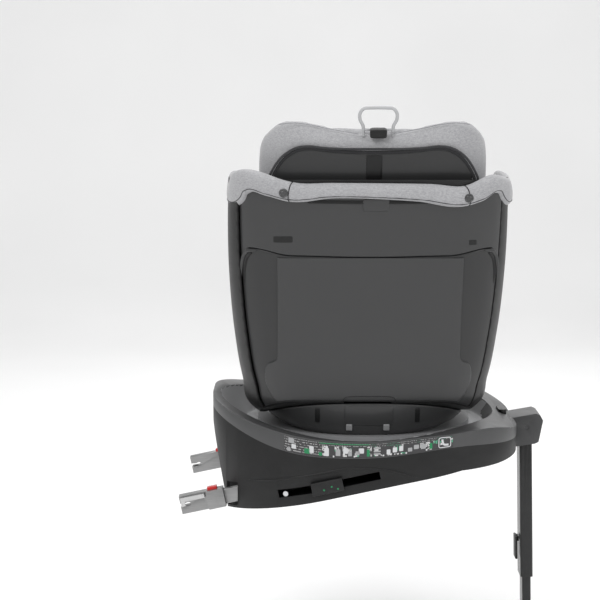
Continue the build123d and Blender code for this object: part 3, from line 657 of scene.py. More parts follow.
s = np.linspace(0, 1, 60)
for side, sign in (("left", -1), ("right", 1)):
    horn_x = sign * np.concatenate([np.linspace(176, 189, 14),
        curve_through([0, 0.3, 0.6, 1], [189, 195.5, 199, 199.5], s)])
    horn_z = np.concatenate([np.linspace(388.5, 388, 14), curve_through([0, 0.3, 0.6, 1], [388, 378, 360, 338], s)])
    size = np.concatenate([np.linspace(0.35, 1, 14), np.interp(s, [0, 0.5, 1], [1, 0.95, 0.2])])
    path = back_surface(horn_x, horn_z, 0.9)
    horn = sweep("shell_horn_" + side, path, ellipse_section(3.1, 1.3, 2.4, 14), up=(0, 1, 0), scale=size)
    finish_piece(horn, "seat", shell_charcoal)
    # painted shade: a black slit just inside each horn's arc stands in for the dark crescent of shadow in the arched
    # cut-out
    slot_line = back_surface(horn_x[14:] - sign * 5.2, horn_z[14:] - 4, 0.2)
    slot_shade = sweep("shell_slot_shade_" + side, slot_line, ellipse_section(2.0, 0.6, 2.0, 12), up=(0, 1, 0), scale=size[14:])
    finish_piece(slot_shade, "seat", rim_black)


def plaque(name, x0, x1, z0, z1, out, material, body="seat", lift=0.5, corner=1.5,
    place=back_surface):
    """A thin flat tile on the back surface between two side places and two heights; its outline is a rounded box.

    The outline is a superellipse of power 8 and the tile is a fan of rings shrunk towards its middle."""
    a = np.linspace(0, 2 * np.pi, 48, endpoint=False)[None, :]
    r = np.array([1.0, 0.985, 0.9, 0.6, 0.3, 0.0])[:, None]
    c, sn = np.cos(a), np.sin(a)
    ex = np.sign(c) * np.abs(c) ** 0.25
    ez = np.sign(sn) * np.abs(sn) ** 0.25
    x = (x0 + x1) / 2 + (x1 - x0) / 2 * ex * r
    zz = (z0 + z1) / 2 + (z1 - z0) / 2 * ez * r
    rise = np.array([-lift, out * 0.8, out, out, out, out])[:, None] + 0 * a
    tile = surface(name, place(x, zz, rise), around_v=True)
    clean(tile)
    return finish_piece(tile, body, material)


plaque("vent_upper_left", -150, -119, 471, 479, 0.35, rim_black)
plaque("vent_lower_left", -149, -119, 402, 412, 0.35, rim_black)
plaque("vent_upper_right", 134, 146, 463, 470, 0.35, rim_black)
plaque("vent_lower_right", 150, 162, 398, 406, 0.35, rim_black)


def cradle_back(x, z, out):
    """A point of the cradle's rear face at that side position and height, moved out by out."""
    f = (z - 80) / 56
    half_x = 112 + 71 * np.sqrt(np.clip(1 - (1 - np.clip(f, 0, 1)) ** 2, 0, 1))
    y = -(167 + 14 * f) * np.clip(1 - (np.abs(x) / half_x) ** 2.82, 0, 1) ** 0.355
    return np.stack([x + 0 * z, y - out, z + 0 * x], -1)


arch_x = np.concatenate([[-41.5], 41.5 * np.sign(np.cos(np.linspace(np.pi, 0,
    90))) * np.abs(np.cos(np.linspace(np.pi, 0, 90))) ** 0.32, [41.5]])
arch_z = np.concatenate([[137.5], 139 + 9.5 * np.abs(np.sin(np.linspace(np.pi, 0, 90))) ** 0.6, [137.5]])
back_strip("foot_recess_line", 2.5 + arch_x, arch_z, 0.8, 0.5, 1.75, rim_black)
plaque("foot_recess", -37.5, 42.5, 96, 131, 0.5, shell_charcoal, body="turntable", lift=0.6, place=cradle_back)
plaque("foot_slot_left", -84, -76, 100, 126, 0.5, rim_black, body="turntable", lift=0.8, place=cradle_back)
plaque("foot_slot_right", 77, 85, 100, 126, 0.5, rim_black, body="turntable", lift=0.8, place=cradle_back)
plaque("deck_lug_left", -34, -24, 88, 99, 3.0, mech_grey, body="turntable", lift=0.8, place=cradle_back)
plaque("deck_lug_right", 26, 36, 88, 99, 3.0, mech_grey, body="turntable", lift=0.8, place=cradle_back)
tab = plaque("clip_tongue", -13, 27, 451, 470, 1.5, shell_charcoal, lift=-0.6)
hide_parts("clip_tab")

# ------------------------------------------------------------------ headrest

LEAN = math.radians(15)
CB, SB = math.cos(LEAN), math.sin(LEAN)


def on_back(x, t, s):
    """Back plane to the model's frame: t forwards from the outer back, s up along the back, leaned 15 degrees."""
    x, t, s = np.broadcast_arrays(np.asarray(x, float), np.asarray(t, float), np.asarray(s, float))
    return np.stack([x, -290 - s * SB + t * CB, 500 + s * CB + t * SB], -1)


def roll_top(x):
    """Height of the headrest's upper edge: two shoulders with a saddle for the handle between them."""
    a = np.abs(x - 4)
    return curve_through([0, 25, 50, 70, 95, 125, 140, 155, 165, 171, 175],
        [566.5, 569, 573.5, 577, 582.5, 585.5, 584.0, 580.0, 570.5, 556, 530], a)


def window_top(x):
    """Height of the dark panel's upper edge in the roll."""
    a = np.abs(x - 3)
    return curve_through([0, 40, 70, 95, 110, 124, 134, 142, 150, 157],
        [538.5, 539.5, 542, 545, 543.5, 537, 529, 519, 505, 490], a)


def headrest_roll():
    """Padded hood: u runs along its plan from one wing tip round the back to the other; v runs round its thickness.

    The plan is a U: back run at t 28, corners of radius 34, sides forward to t 168.  Round the section, an oval of the
    pad's thickness, power 2.6, is stretched between the lower edge and the roll's upper edge at that place."""
    nu, nv = 200, 72
    half, depth, corner, front = 157.0, 47.0, 48.0, 150.0
    lengths = [front - depth - corner, corner * np.pi / 2, 2 * (half - corner), corner * np.pi / 2,
        front - depth - corner]
    total = sum(lengths)
    d = np.linspace(0, total, nu)
    edges = np.cumsum([0] + lengths)
    x = np.zeros(nu)
    t = np.zeros(nu)
    nx = np.zeros(nu)
    nt = np.zeros(nu)
    m = d <= edges[1]
    x[m], t[m], nx[m] = -half, front - d[m], -1
    m = (d > edges[1]) & (d <= edges[2])
    a = (d[m] - edges[1]) / corner
    x[m], t[m] = -half + corner - corner * np.cos(a), depth + corner - corner * np.sin(a)
    nx[m], nt[m] = -np.cos(a), -np.sin(a)
    m = (d > edges[2]) & (d <= edges[3])
    x[m], t[m], nt[m] = -half + corner + d[m] - edges[2], depth, -1
    m = (d > edges[3]) & (d <= edges[4])
    a = (d[m] - edges[3]) / corner
    x[m], t[m] = half - corner + corner * np.sin(a), depth + corner - corner * np.cos(a)
    nx[m], nt[m] = np.sin(a), -np.cos(a)
    m = d > edges[4]
    x[m], t[m], nx[m] = half, depth + corner + d[m] - edges[4], 1
    end = np.minimum(d, total - d)
    end_round = np.sqrt(np.clip(1 - (1 - np.clip(end / 26, 0, 1)) ** 2, 0, 1))
    thick = 18.0 * (0.25 + 0.75 * end_round)
    ang = np.linspace(0, 2 * np.pi, nv, endpoint=False)[None, :]
    c, s_ = np.cos(ang), np.sin(ang)
    across = np.sign(c) * np.abs(c) ** 0.62
    along = np.sign(s_) * np.abs(s_) ** 0.72
    xo = x[:, None] + nx[:, None] * thick[:, None] * across
    to = t[:, None] + nt[:, None] * thick[:, None] * across
    # upper edge follows the shoulders at the back and stays level along the sides
    top_z = roll_top(np.clip(np.abs(x) * 1.06, 0, 174) * np.sign(x) + 4)
    back_s = (top_z - 500 - (depth - 10) * SB) / CB
    side_s = np.full(nu, 22.0)
    blend = smooth_step((t - 56) / 90)
    top_s = back_s * (1 - blend) + side_s * blend - (1 - end_round) * 26
    low_s = -92 + 20 * (1 - end_round)
    s_mid = (top_s + low_s)[:, None] / 2
    s_half = (top_s - low_s)[:, None] / 2
    so = s_mid + s_half * along
    # cloth drawn in a little where it meets the panel, and faint sewn tension lines by the handle
    pull = 1.6 * bump(x[:, None], 4, 34) * bump(so, 62, 16) * np.sin(x[:, None] * 0.35)
    to = to + pull * np.abs(nt[:, None])
    points = on_back(xo + 5, to, so)
    centre_a = on_back(x[0] + 5, t[0], s_mid[0, 0])
    centre_b = on_back(x[-1] + 5, t[-1], s_mid[-1, 0])
    points = np.concatenate([np.broadcast_to(centre_a, (1, nv, 3)), points, np.broadcast_to(centre_b, (1, nv, 3))])
    obj = surface("headrest_hood", points, around_v=True)
    return clean(obj)


def inflate(obj, voxel=0.005, pressure=4.0, cap=0.008, smooth=6):
    """Evens a closed cushion by voxel remeshing, swells it with a cloth simulation, caps each point's movement, and
    smooths it.
    """
    remesh = obj.modifiers.new("even", "REMESH")
    remesh.mode = "VOXEL"
    remesh.voxel_size = voxel
    apply_modifiers(obj)
    count = len(obj.data.vertices)
    before = np.empty(count * 3)
    obj.data.vertices.foreach_get("co", before)
    before = before.reshape(-1, 3)
    cloth_sim = obj.modifiers.new("swell", "CLOTH")
    cloth_sim.settings.use_pressure = True
    cloth_sim.settings.uniform_pressure_force = pressure
    cloth_sim.settings.quality = 4
    cloth_sim.settings.effector_weights.gravity = 0
    cloth_sim.point_cache.frame_start = 1
    cloth_sim.point_cache.frame_end = 20
    for step in range(1, 21):
        scene.frame_set(step)
    graph = bpy.context.evaluated_depsgraph_get()
    done = bpy.data.meshes.new_from_object(obj.evaluated_get(graph))
    after = np.empty(count * 3)
    done.vertices.foreach_get("co", after)
    after = after.reshape(-1, 3)
    bpy.data.meshes.remove(done)
    obj.modifiers.clear()
    move = after - before
    length = np.linalg.norm(move, axis=1)[:, None] + 1e-9
    after = before + move / length * np.minimum(length, cap)
    after[~np.isfinite(after).all(1)] = before[~np.isfinite(after).all(1)]
    obj.data.vertices.foreach_set("co", after.ravel())
    scene.frame_set(1)
    ease = obj.modifiers.new("ease", "SMOOTH")
    ease.iterations = smooth
    apply_modifiers(obj)
    return obj


def subdivided(obj, levels=1):
    sub = obj.modifiers.new("fine", "SUBSURF")
    sub.levels = levels
    sub.render_levels = levels
    apply_modifiers(obj)
    obj.data.polygons.foreach_set("use_smooth", np.ones(len(obj.data.polygons), bool))
    return obj


hood = headrest_roll()
inflate(hood, voxel=0.006, pressure=4.0, cap=0.004, smooth=4)
subdivided(hood)
finish_piece(hood, "headrest", cloth_grey, ["headrest_core"])


def pad_form(name, centre, half_sizes, powers=(3.5, 3.0), place=None, dish=0.0, pinch=0.06, material=None, nu=48,
    nv=72):
    """A crowned closed cushion: a superellipsoid of the given half sizes whose sides pull in between its corners.

    Its plan is |cos| and |sin| raised to two over the first power, its thickness uses the second; dish hollows the face."""
    u = np.linspace(-np.pi / 2, np.pi / 2, nu)[:, None]
    v = np.linspace(0, 2 * np.pi, nv, endpoint=False)[None, :]
    cu, su = np.cos(u), np.sin(u)
    cv, sv = np.cos(v), np.sin(v)
    px, pz = 2 / powers[0], 2 / powers[1]
    ring = np.abs(cu) ** pz
    a = half_sizes[0] * ring * np.sign(cv) * np.abs(cv) ** px
    b = half_sizes[1] * ring * np.sign(sv) * np.abs(sv) ** px
    w = half_sizes[2] * np.sign(su) * np.abs(su) ** pz + 0 * v
    waist = 1 - pinch * (1 - (np.abs(cv) ** px) ** 2) * ring
    waist_b = 1 - pinch * (1 - (np.abs(sv) ** px) ** 2) * ring
    a, b = a * waist, b * waist_b
    w = w - dish * np.clip(1 - (a / half_sizes[0]) ** 2, 0, 1) * np.clip(1 - (b / half_sizes[1]) ** 2, 0, 1) * (w > 0)
    points = np.stack([centre[0] + a, centre[1] + b, centre[2] + w], -1)
    if place:
        points = place(points[..., 0], points[..., 1], points[..., 2])
    obj = surface(name, points, around_v=True)
    return clean(obj)


# the dark panel in the hood's back, its piping, and a black strip down its middle as painted shade for the centre
# groove
def panel_point(x, zz, out):
    """Back face of the hood's panel: a gently bowed sheet, standing back from the hood's rear by the piping's depth."""
    t = 27.2 - out - 2.4 * (1 - (np.clip(x, -160, 160) / 160) ** 2)
    s = (zz - 500 - t * SB) / CB
    return on_back(x, t, s)


t_ = np.linspace(0, 1, 120)[:, None]
h_ = np.linspace(0, 1, 60)[None, :]
px_ = -147 + 300 * t_
panel_grid = panel_point(px_ + 0 * h_, 425 + (window_top(px_) - 425) * h_, 0 * h_)
back_panel = surface("headrest_panel", panel_grid)
walled(back_panel, 3.0, 0.8, offset=1.0)
finish_piece(back_panel, "headrest", panel_dark, ["headrest_back_panel"], sharp=40)
edge_x = np.linspace(-149, 155, 160)
edge_z = window_top(edge_x)
edge_path = np.concatenate([[(-150.5, 488.0)], np.stack([edge_x, edge_z], 1), [(156.5, 488.0)]])
for number, (grow, width_, material) in enumerate(((1.2, 2.7, piping_dark), (6.4, 2.0, cloth_dark))):
    centre_ = np.array([3.0, 470.0])
    off = edge_path - centre_
    lift_ = edge_path + off / np.linalg.norm(off, axis=1)[:, None] * grow
    cord_path = panel_point(lift_[:, 0], lift_[:, 1], 1.8 + 0.9 * number)
    piping = sweep(f"headrest_piping_{number + 1}", cord_path, ellipse_section(width_, width_, 2, 12), up=(0, 1, 0))
    finish_piece(piping, "headrest", material)
# painted shade: a black strip standing in for the shadow of the panel's centre groove
strip = surface("headrest_groove_shade", panel_point(np.linspace(-8, 16, 8)[:, None] + 0 * h_,
    425 + (window_top(np.full((8, 1), 4.0)) - 428) * h_, 3.6 + 0 * h_))
walled(strip, 1.0, 0.3, offset=-1.0)
finish_piece(strip, "headrest", rim_black, sharp=40)

# the seam along the hood's crest, a thin raised line
for number, xs in enumerate((np.linspace(-140, -20, 80), np.linspace(28, 148, 80))):
    zs = roll_top(xs) - 1.5
    t_s = 37.0
    pts = on_back(xs, t_s, (zs - 500 - t_s * SB) / CB)
    seam = sweep(f"hood_seam_{number + 1}", pts, ellipse_section(0.8, 0.6, 2, 8), up=(0, 1, 0))
    finish_piece(seam, "headrest", cloth_soft)

# handle: a rounded loop wider at its top, a crossbar and two legs; a dark block below
loop = np.array([(-12, 567), (-12.5, 575), (-13, 583), (-17.5, 592), (-18, 601), (-13, 608.2), (-4, 610), (24, 610),
    (33, 608.2), (38, 601), (37.5, 592), (33, 583), (32.5, 575), (32, 567)], float)
k = np.linspace(0, len(loop) - 1, 120)
loop_s = curve_through(np.arange(len(loop)), loop, k)
handle_t = 42.0
loop_pts = on_back(loop_s[:, 0], handle_t, (loop_s[:, 1] - 3.4 - 500 - handle_t * SB) / CB)
handle = sweep("headrest_loop", loop_pts, ellipse_section(2.6, 3.0, 2.6, 16), up=(0, 1, 0))
bar_x = np.linspace(-13, 33, 12)
bar_pts = on_back(bar_x, handle_t, (577.5 - 3.4 - 500 - handle_t * SB) / CB + 0 * bar_x)
bar = sweep("headrest_loop_bar", bar_pts, ellipse_section(1.9, 2.6, 2.6, 14), up=(0, 1, 0))
finish_piece(handle, "headrest_release", trim_light, ["headrest_handle"])
finish_piece(bar, "headrest_release", trim_light)
block_piece = pad_form("handle_block", (10, 34, 0), (12.8, 7.5, 7.0), (6.0, 6.0), place=lambda x, t,
    s: on_back(x, t, (569 - 500 - 34 * SB) / CB + s), pinch=0)
finish_piece(block_piece, "headrest", base_black, sharp=40)

# ------------------------------------------------------------------ cloth over the shell's edge


def band_upper(x):
    """Height of the cover roll's upper edge behind the back."""
    return curve_through([-213, -205, -187, -173, -140, -117, -61, 8, 89, 149, 174, 186, 199, 206, 213],
        [500, 510, 514, 511, 500, 495, 494.5, 494, 493, 491.5, 502, 506, 503, 500, 496], x)


def band_lower(x):
    """Height of the cover roll's hem behind the back."""
    return curve_through([-213, -204, -198, -187, -156, -125, -61, 8, 73, 142, 163, 190, 200, 206, 213],
        [446, 458, 470, 478.5, 474, 466, 471, 470, 466, 459, 465, 478, 474, 462, 446], x)


def band_line(q):
    """Middle line and half height of the roll that wraps the shell's edge, at each place around it."""
    e = np.full(q.shape, 488.0)
    for _ in range(40):
        p = shell_outline(e, q)
        e = 0.6 * e + 0.4 * np.minimum(488.0, wing_height(p[:, 1]) - 4)
    p = shell_outline(e, q)
    on_back_part = 1 - smooth_step((p[:, 1] + 262) / 90)
    up = band_upper(p[:, 0]) * on_back_part + (e + 15) * (1 - on_back_part)
    low = band_lower(p[:, 0]) * on_back_part + (e - 20) * (1 - on_back_part)
    mid = shell_outline((up + low) / 2, q, -3.0)
    return mid, (up - low) / 2


def band_point(q, ang, lift=0.0):
    """Surface of the roll: round the middle line an oval, flat outside where it lies on the shell, full at the crest."""
    mid, half = band_line(q)
    tangent = np.gradient(mid, axis=0)
    tangent /= np.linalg.norm(tangent, axis=1)[:, None]
    outward = shell_outline(mid[:, 2], q, 10.0) - shell_outline(mid[:, 2], q, 0.0)
    outward[:, 2] = 0
    outward /= np.linalg.norm(outward, axis=1)[:, None] + 1e-9
    upright = np.cross(tangent, outward)
    upright *= np.sign(upright[:, 2:3] + 1e-9)
    upright /= np.linalg.norm(upright, axis=1)[:, None] + 1e-9
    c, s_ = np.cos(ang), np.sin(ang)
    n_part = (10.0 + lift) * np.sign(c) * np.abs(c) ** 0.8
    b_part = (half[:, None] + lift) * np.sign(s_) * np.abs(s_) ** 0.8
    crown = 1.5 * np.sin(np.clip((s_ + 1) / 2, 0, 1) * np.pi)
    outwards = (n_part + crown * (c > 0)) + 0 * b_part
    return mid[:, None, :] + outwards[..., None] * outward[:, None, :] + b_part[..., None] * upright[:, None, :]


q_band = np.linspace(-0.80, 0.80, 420)
angles = np.linspace(0, 2 * np.pi, 40, endpoint=False)[None, :]
band_grid = band_point(q_band, angles)
centre_line = band_grid.mean(1)
tuck = np.minimum(np.arange(420), np.arange(420)[::-1]) / 10.0
close = np.sqrt(np.clip(1 - (1 - np.clip(tuck, 0, 1)) ** 2, 0.0, 1))[:, None, None]
band_grid = centre_line[:, None, :] + (band_grid - centre_line[:, None, :]) * np.maximum(close, 0.02)
ripple = 0.35 * np.sin(np.arange(420) * 0.9)[:,
    None] * np.sin(angles * 2 + 0.4) + 0.25 * np.sin(np.arange(420) * 0.37 + 1)[:, None]
band_grid[..., 1] += ripple * 0.8
band = surface("cover_roll", band_grid, around_v=True)
clean(band)
bm = bmesh.new()
bm.from_mesh(band.data)
bmesh.ops.holes_fill(bm, edges=[e for e in bm.edges if e.is_boundary], sides=0)
bmesh.ops.recalc_face_normals(bm, faces=bm.faces)
bm.to_mesh(band.data)
bm.free()
finish_piece(band, "seat", cloth_grey)


def band_seam(name, q_value, ang_low, ang_high, size=0.75, material=None):
    """A stitched seam lying across the roll at one place around it."""
    a = np.linspace(ang_low, ang_high, 40)[None, :]
    q = q_value + np.linspace(-0.004, 0.004, 5)
    line = band_point(q, a, 0.15)[2]
    piece = sweep(name, line, ellipse_section(size, size, 2, 8), up=(1, 0, 0.02))
    return finish_piece(piece, "seat", material or piping_dark)


# place around the shell where the back is at a given side position
q_probe = np.linspace(-0.3, 0.3, 601)
x_probe = shell_outline(485.0, q_probe)[:, 0]
for number, x_seam in enumerate((-122.0, 144.0)):
    q_here = float(np.interp(x_seam, x_probe, q_probe))
    band_seam(f"cover_seam_{number + 1}", q_here, -1.25, 1.45)
q_mid = np.linspace(-0.30, 0.30, 260)
hem = band_point(q_mid, np.full((1, 1), -0.74), 0.1)[:, 0]
finish_piece(sweep("cover_hem_stitch", hem, ellipse_section(0.6, 0.45, 2, 8), up=(0, 1, 0)), "seat", cloth_dark)


def snap(name, x_place):
    """A press stud: a domed cap in a rolled ring, its profile turned round its own axis, standing on the roll."""
    q_here = np.interp(x_place, x_probe, q_probe) + np.linspace(-0.004, 0.004, 5)
    at = band_point(q_here, np.full((1, 1), -0.1), 0.0)[2, 0]
    r = np.array([0.05, 1.6, 3.0, 3.9, 4.5, 5.0, 5.9, 6.6, 6.9, 6.9])
    h = np.array([1.9, 1.8, 1.45, 0.9, 0.8, 1.5, 1.7, 1.1, 0.2, -2.0])
    a = np.linspace(0, 2 * np.pi, 28, endpoint=False)[:, None]
    x = at[0] + r * np.cos(a)
    zz = at[2] + r * np.sin(a)
    y = at[1] - h + 0 * a
    piece = surface(name, np.stack([x, y, zz], -1), around_u=True)
    clean(piece)
    return finish_piece(piece, "seat", stud_grey, ["cover_snaps"], sharp=50)


snap("cover_snap_left", -129.0)
snap("cover_snap_right", 142.0)
# painted shade: a black strip standing in for the shadow in the gap below the hem's middle, where the roll lifts off
# the shell
gap_x = np.linspace(-96, 98, 60)
back_strip("cover_gap_shade", gap_x, 466.5 - 1.2 * np.cos((gap_x - 4) / 60), 3.2, 0.6, 0.3, rim_black)

# ------------------------------------------------------------------ cloth inside the shell

lining = shell_sheet("inner_lining", -0.80, 0.80, 150.0, 486.0, out=-10.6, nu=260, nv=60, wall=0)
walled(lining, 9.0, 2.0)
finish_piece(lining, "seat", cloth_soft, ["shell_lining"], sharp=60)
lining_line = np.linspace(-0.25, 0.25, 120)
stitch = shell_outline(430.0, lining_line, -19.9)
finish_piece(sweep("lining_seam", stitch, ellipse_section(0.9, 0.9, 2, 8), up=(0, 1, 0)), "seat", piping_dark)


def boxed(node):
    """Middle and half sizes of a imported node's box in millimetres."""
    low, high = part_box(node)
    low, high = np.array(low) * 1000, np.array(high) * 1000
    return (low + high) / 2, (high - low) / 2


def soft_pad(name, node, material, powers=(4.5, 2.8), dish=0.0, pinch=0.05, shrink=1.5, cap=0.004,
    voxel=0.005, body="seat", centre=None, half=None, place=None):
    """A cushion made from its node's box, a little smaller, swollen by the cloth simulation."""
    if centre is None:
        centre, half = boxed(node)
    pad = pad_form(name, centre, np.asarray(half, float) - shrink, powers, place, dish, pinch)
    inflate(pad, voxel=voxel, cap=cap, smooth=3)
    subdivided(pad)
    finish_piece(pad, body, material, [node] if node else ())
    return pad


soft_pad("seat_pad", "seat_cushion", cloth_grey, powers=(5.0, 2.4), dish=5.0, pinch=0.04, voxel=0.006, cap=0.006)
soft_pad("back_pad", "back_cushion", cloth_grey, centre=(0, 38, -262), half=(136, 14, 50), place=lambda x, t,
    s: on_back(x, t, s), powers=(5.0, 3.0))
soft_pad("head_pad", "headrest_pad", cloth_grey, centre=(0, 76, -12), half=(128, 17, 74), place=lambda x, t,
    s: on_back(x, t, s), powers=(5.0, 3.0), body="headrest", pinch=0.03)
for side, sign in (("left", -1), ("right", 1)):
    soft_pad("hip_bolster_" + side, "side_bolsters", cloth_soft, centre=(sign * 151, 38, 217),
        half=(14.5, 108, 17.5), powers=(3.2, 2.4), pinch=0.03)
for side, sign in (("left", -1), ("right", 1)):
    soft_pad("shoulder_pad_" + side + "_cover", "shoulder_pad_" + side, cloth_dark,
        centre=(sign * 55, 66.5, -147.5), half=(26, 10.5, 52), powers=(5.0, 3.0), pinch=0.02, place=lambda x, t,
        s: on_back(x, t, s), body="headrest", cap=0.0015)
soft_pad("crotch_cover", "crotch_pad", cloth_dark, centre=(0, -11.3, 217.5), half=(30, 4.2, 18.5),
    powers=(5.0, 2.6), pinch=0.03, cap=0.001)

# ------------------------------------------------------------------ harness webbing


def webbing(name, path, wide, thick=1.6, up=(0, 1, 0.27)):
    """Flat woven strap: a section twice as flat at its middle as a box, with rolled edges, along the path."""
    a = np.linspace(0, 2 * np.pi, 28, endpoint=False)
    section = np.stack([wide / 2 * np.sign(np.cos(a)) * np.abs(np.cos(a)) ** 0.35,
        thick / 2 * np.sign(np.sin(a)) * np.abs(np.sin(a)) ** 0.7 * (1 + 0.25 * (np.abs(np.cos(a)) > 0.8))], 1)
    return sweep(name, path, section, up=up)


def smooth_path(points, count=60):
    """A smooth line through a few points."""
    points = np.asarray(points, float)
    return curve_through(np.arange(len(points)), points, np.linspace(0, len(points) - 1, count))


for side, sign in (("left", -1), ("right", 1)):
    s_low = [on_back(sign * 55, 66, v) for v in (-98, -150, -205, -260, -300)]
    run = s_low + [np.array([sign * 44, -55.0 + 6, 243.0]), np.array([sign * 30, -22, 249.0]),
        np.array([sign * 22, 0.5, 255.0])]
    strap = webbing("shoulder_strap_" + side, smooth_path(run, 90), 34)
    strap.data.materials.append(strap_black)
    top_point, low_point = on_back(sign * 55, 66, -200) / 1000, on_back(sign * 55, 66, -296) / 1000
    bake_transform(strap)
    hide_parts("shoulder_straps_lower", "shoulder_straps_upper")
    lap = [(sign * 44, 1.5, 252), (sign * 66, -6, 249), (sign * 92, -26, 240), (sign * 114, -48, 229),
        (sign * 134, -70, 219)]
    lap_strap = webbing("lap_strap_" + side, smooth_path(lap, 60), 34, up=(0, 0.75, 0.66))
    finish_piece(lap_strap, "seat", strap_black, ["lap_straps"])
adjust = [(0, 172, 206), (0, 190, 206.2), (0, 214, 206.6), (0, 236, 206), (0, 247, 200), (0, 249.5, 188),
    (0, 249.5, 174)]
adjust_strap = webbing("adjuster_webbing", smooth_path(adjust, 70), 24, up=(0, 0.02, 1.0))
finish_piece(adjust_strap, "seat", strap_black, ["adjuster_strap"])

# ------------------------------------------------------------------ bevel and pictogram band round the base

SEAM_LINE = np.array([(-300, 125), (-200, 84), (-141, 65), (-47, 54), (40, 57), (145, 71), (254, 62), (290, 58)],
    float)
RIM_LINE = np.array([(-300, 146), (-238, 119), (-170, 99), (-100, 86), (0, 80), (125, 91), (214, 92), (254, 78),
    (290, 66)], float)


def base_edge(x, out=0.0):
    """Depth of the base's camera side at a side position: a quarter circle at each end joined by a straight tangent line."""
    rear_c, rear_r, front_c, front_r = np.array([-65.0, -30.0]), 190.0 + out, np.array([94.0, -60.0]), 160.0 + out
    span = front_c - rear_c
    length = np.linalg.norm(span)
    lean = np.arcsin((rear_r - front_r) / length)
    base_angle = np.arctan2(span[1], span[0]) - np.pi / 2 + lean
    n = np.array([np.cos(base_angle), np.sin(base_angle)])
    p, q = rear_c + n * rear_r, front_c + n * front_r
    straight = p[1] + (q[1] - p[1]) * (x - p[0]) / (q[0] - p[0])
    rear_arc = rear_c[1] - np.sqrt(np.clip(rear_r**2 - (x - rear_c[0]) ** 2, 0, None))
    front_arc = front_c[1] - np.sqrt(np.clip(front_r**2 - (x - front_c[0]) ** 2, 0, None))
    return np.where(x < p[0], rear_arc, np.where(x > q[0], front_arc, straight)), n


def rim_side(x, f, out=0.0):
    """Point of the rim's side: f from 0 at the seam to 1 at the upper edge, standing out by out."""
    x, f = np.broadcast_arrays(np.asarray(x, float), np.asarray(f, float))
    low = curve_through(SEAM_LINE[:, 0], SEAM_LINE[:, 1], x)
    high = curve_through(RIM_LINE[:, 0], RIM_LINE[:, 1], x)
    y, _ = base_edge(x, out)
    return np.stack([x, y, low + (high - low) * f], -1)


xs = np.linspace(-133, 134, 160)[:, None]
fs = np.linspace(0.06, 0.90, 12)[None, :]
label = surface("pictogram_band", rim_side(xs, fs, 0.35))
walled(label, 0.3, 0.0, offset=-1.0)


def band_material():
    """Dark printed strip with generic pale blocks, dots and green ticks in rows along it, and no lettering.

    Position along is Object X, and the rows come from a mesh attribute that rises from 0 at the seam to 1 at the top."""
    material, s, shader = new_material("pictogram_print", {"Roughness": 0.5})
    u = s.node("Attribute", attribute_name="along").outputs["Fac"]
    v = s.node("Attribute", attribute_name="across").outputs["Fac"]
    cell = s.node("CombineXYZ", {0: s.math("MULTIPLY", u, 16.0), 1: s.math("MULTIPLY", v, 1.0), 2: 0.0}).outputs[0]
    spots = s.node("TexVoronoi", {"Vector": s.node("CombineXYZ",
        {0: s.math("MULTIPLY", u, 26.0), 1: s.math("MULTIPLY", v, 2.2), 2: 0.0}).outputs[0], "Scale": 1.0,
        "Randomness": 0.45}, distance="CHEBYCHEV")
    shape = s.math("LESS_THAN", spots.outputs["Distance"], 0.33)
    fine = s.node("TexNoise", {"Vector": s.node("CombineXYZ",
        {0: s.math("MULTIPLY", u, 150.0), 1: s.math("MULTIPLY", v, 9.0), 2: 0.0}).outputs[0], "Scale": 1.0,
        "Detail": 3.0}).outputs["Fac"]
    broken = s.math("GREATER_THAN", fine, 0.47)
    lines = s.math("GREATER_THAN", s.math("SINE", s.math("MULTIPLY", v, 44.0)), 0.35)
    dashes = s.math("GREATER_THAN", fine, 0.50)
    upper_row = s.math("GREATER_THAN", v, 0.74)
    left_block = s.math("LESS_THAN", u, 0.22)
    text_zone = s.math("MAXIMUM", upper_row, left_block)
    small = s.math("MULTIPLY", s.math("MULTIPLY", lines, dashes), text_zone)
    big = s.math("MULTIPLY", s.math("MULTIPLY", shape, broken), s.math("SUBTRACT", 1.0, text_zone))
    big = s.math("MULTIPLY", big, s.math("GREATER_THAN", v, 0.12))
    print_mask = s.math("MINIMUM", s.math("ADD", s.math("MULTIPLY", small, 0.5), s.math("MULTIPLY", big, 0.9)), 1.0)
    green = s.math("MULTIPLY", s.math("LESS_THAN",
        s.node("TexNoise", {"Vector": cell, "Scale": 0.9, "Detail": 1.0}).outputs["Fac"], 0.42),
        s.math("SUBTRACT", 1.0, left_block))
    ink = s.mix(green, (0.62, 0.62, 0.62, 1), (0.08, 0.34, 0.2, 1))
    s.tree.links.new(s.mix(print_mask, (0.035, 0.034, 0.036, 1), ink), shader.inputs["Base Color"])
    return material


points = np.empty(len(label.data.vertices) * 3)
label.data.vertices.foreach_get("co", points)
points = points.reshape(-1, 3) * 1000
low_line = curve_through(SEAM_LINE[:, 0], SEAM_LINE[:, 1], points[:, 0])
high_line = curve_through(RIM_LINE[:, 0], RIM_LINE[:, 1], points[:, 0])
for key, values in (("along", (points[:, 0] + 133) / 267),
    ("across", (points[:, 2] - low_line) / (high_line - low_line))):
    attribute = label.data.attributes.new(key, "FLOAT", "POINT")
    attribute.data.foreach_set("value", values.astype(np.float32))
finish_piece(label, "base", band_material())

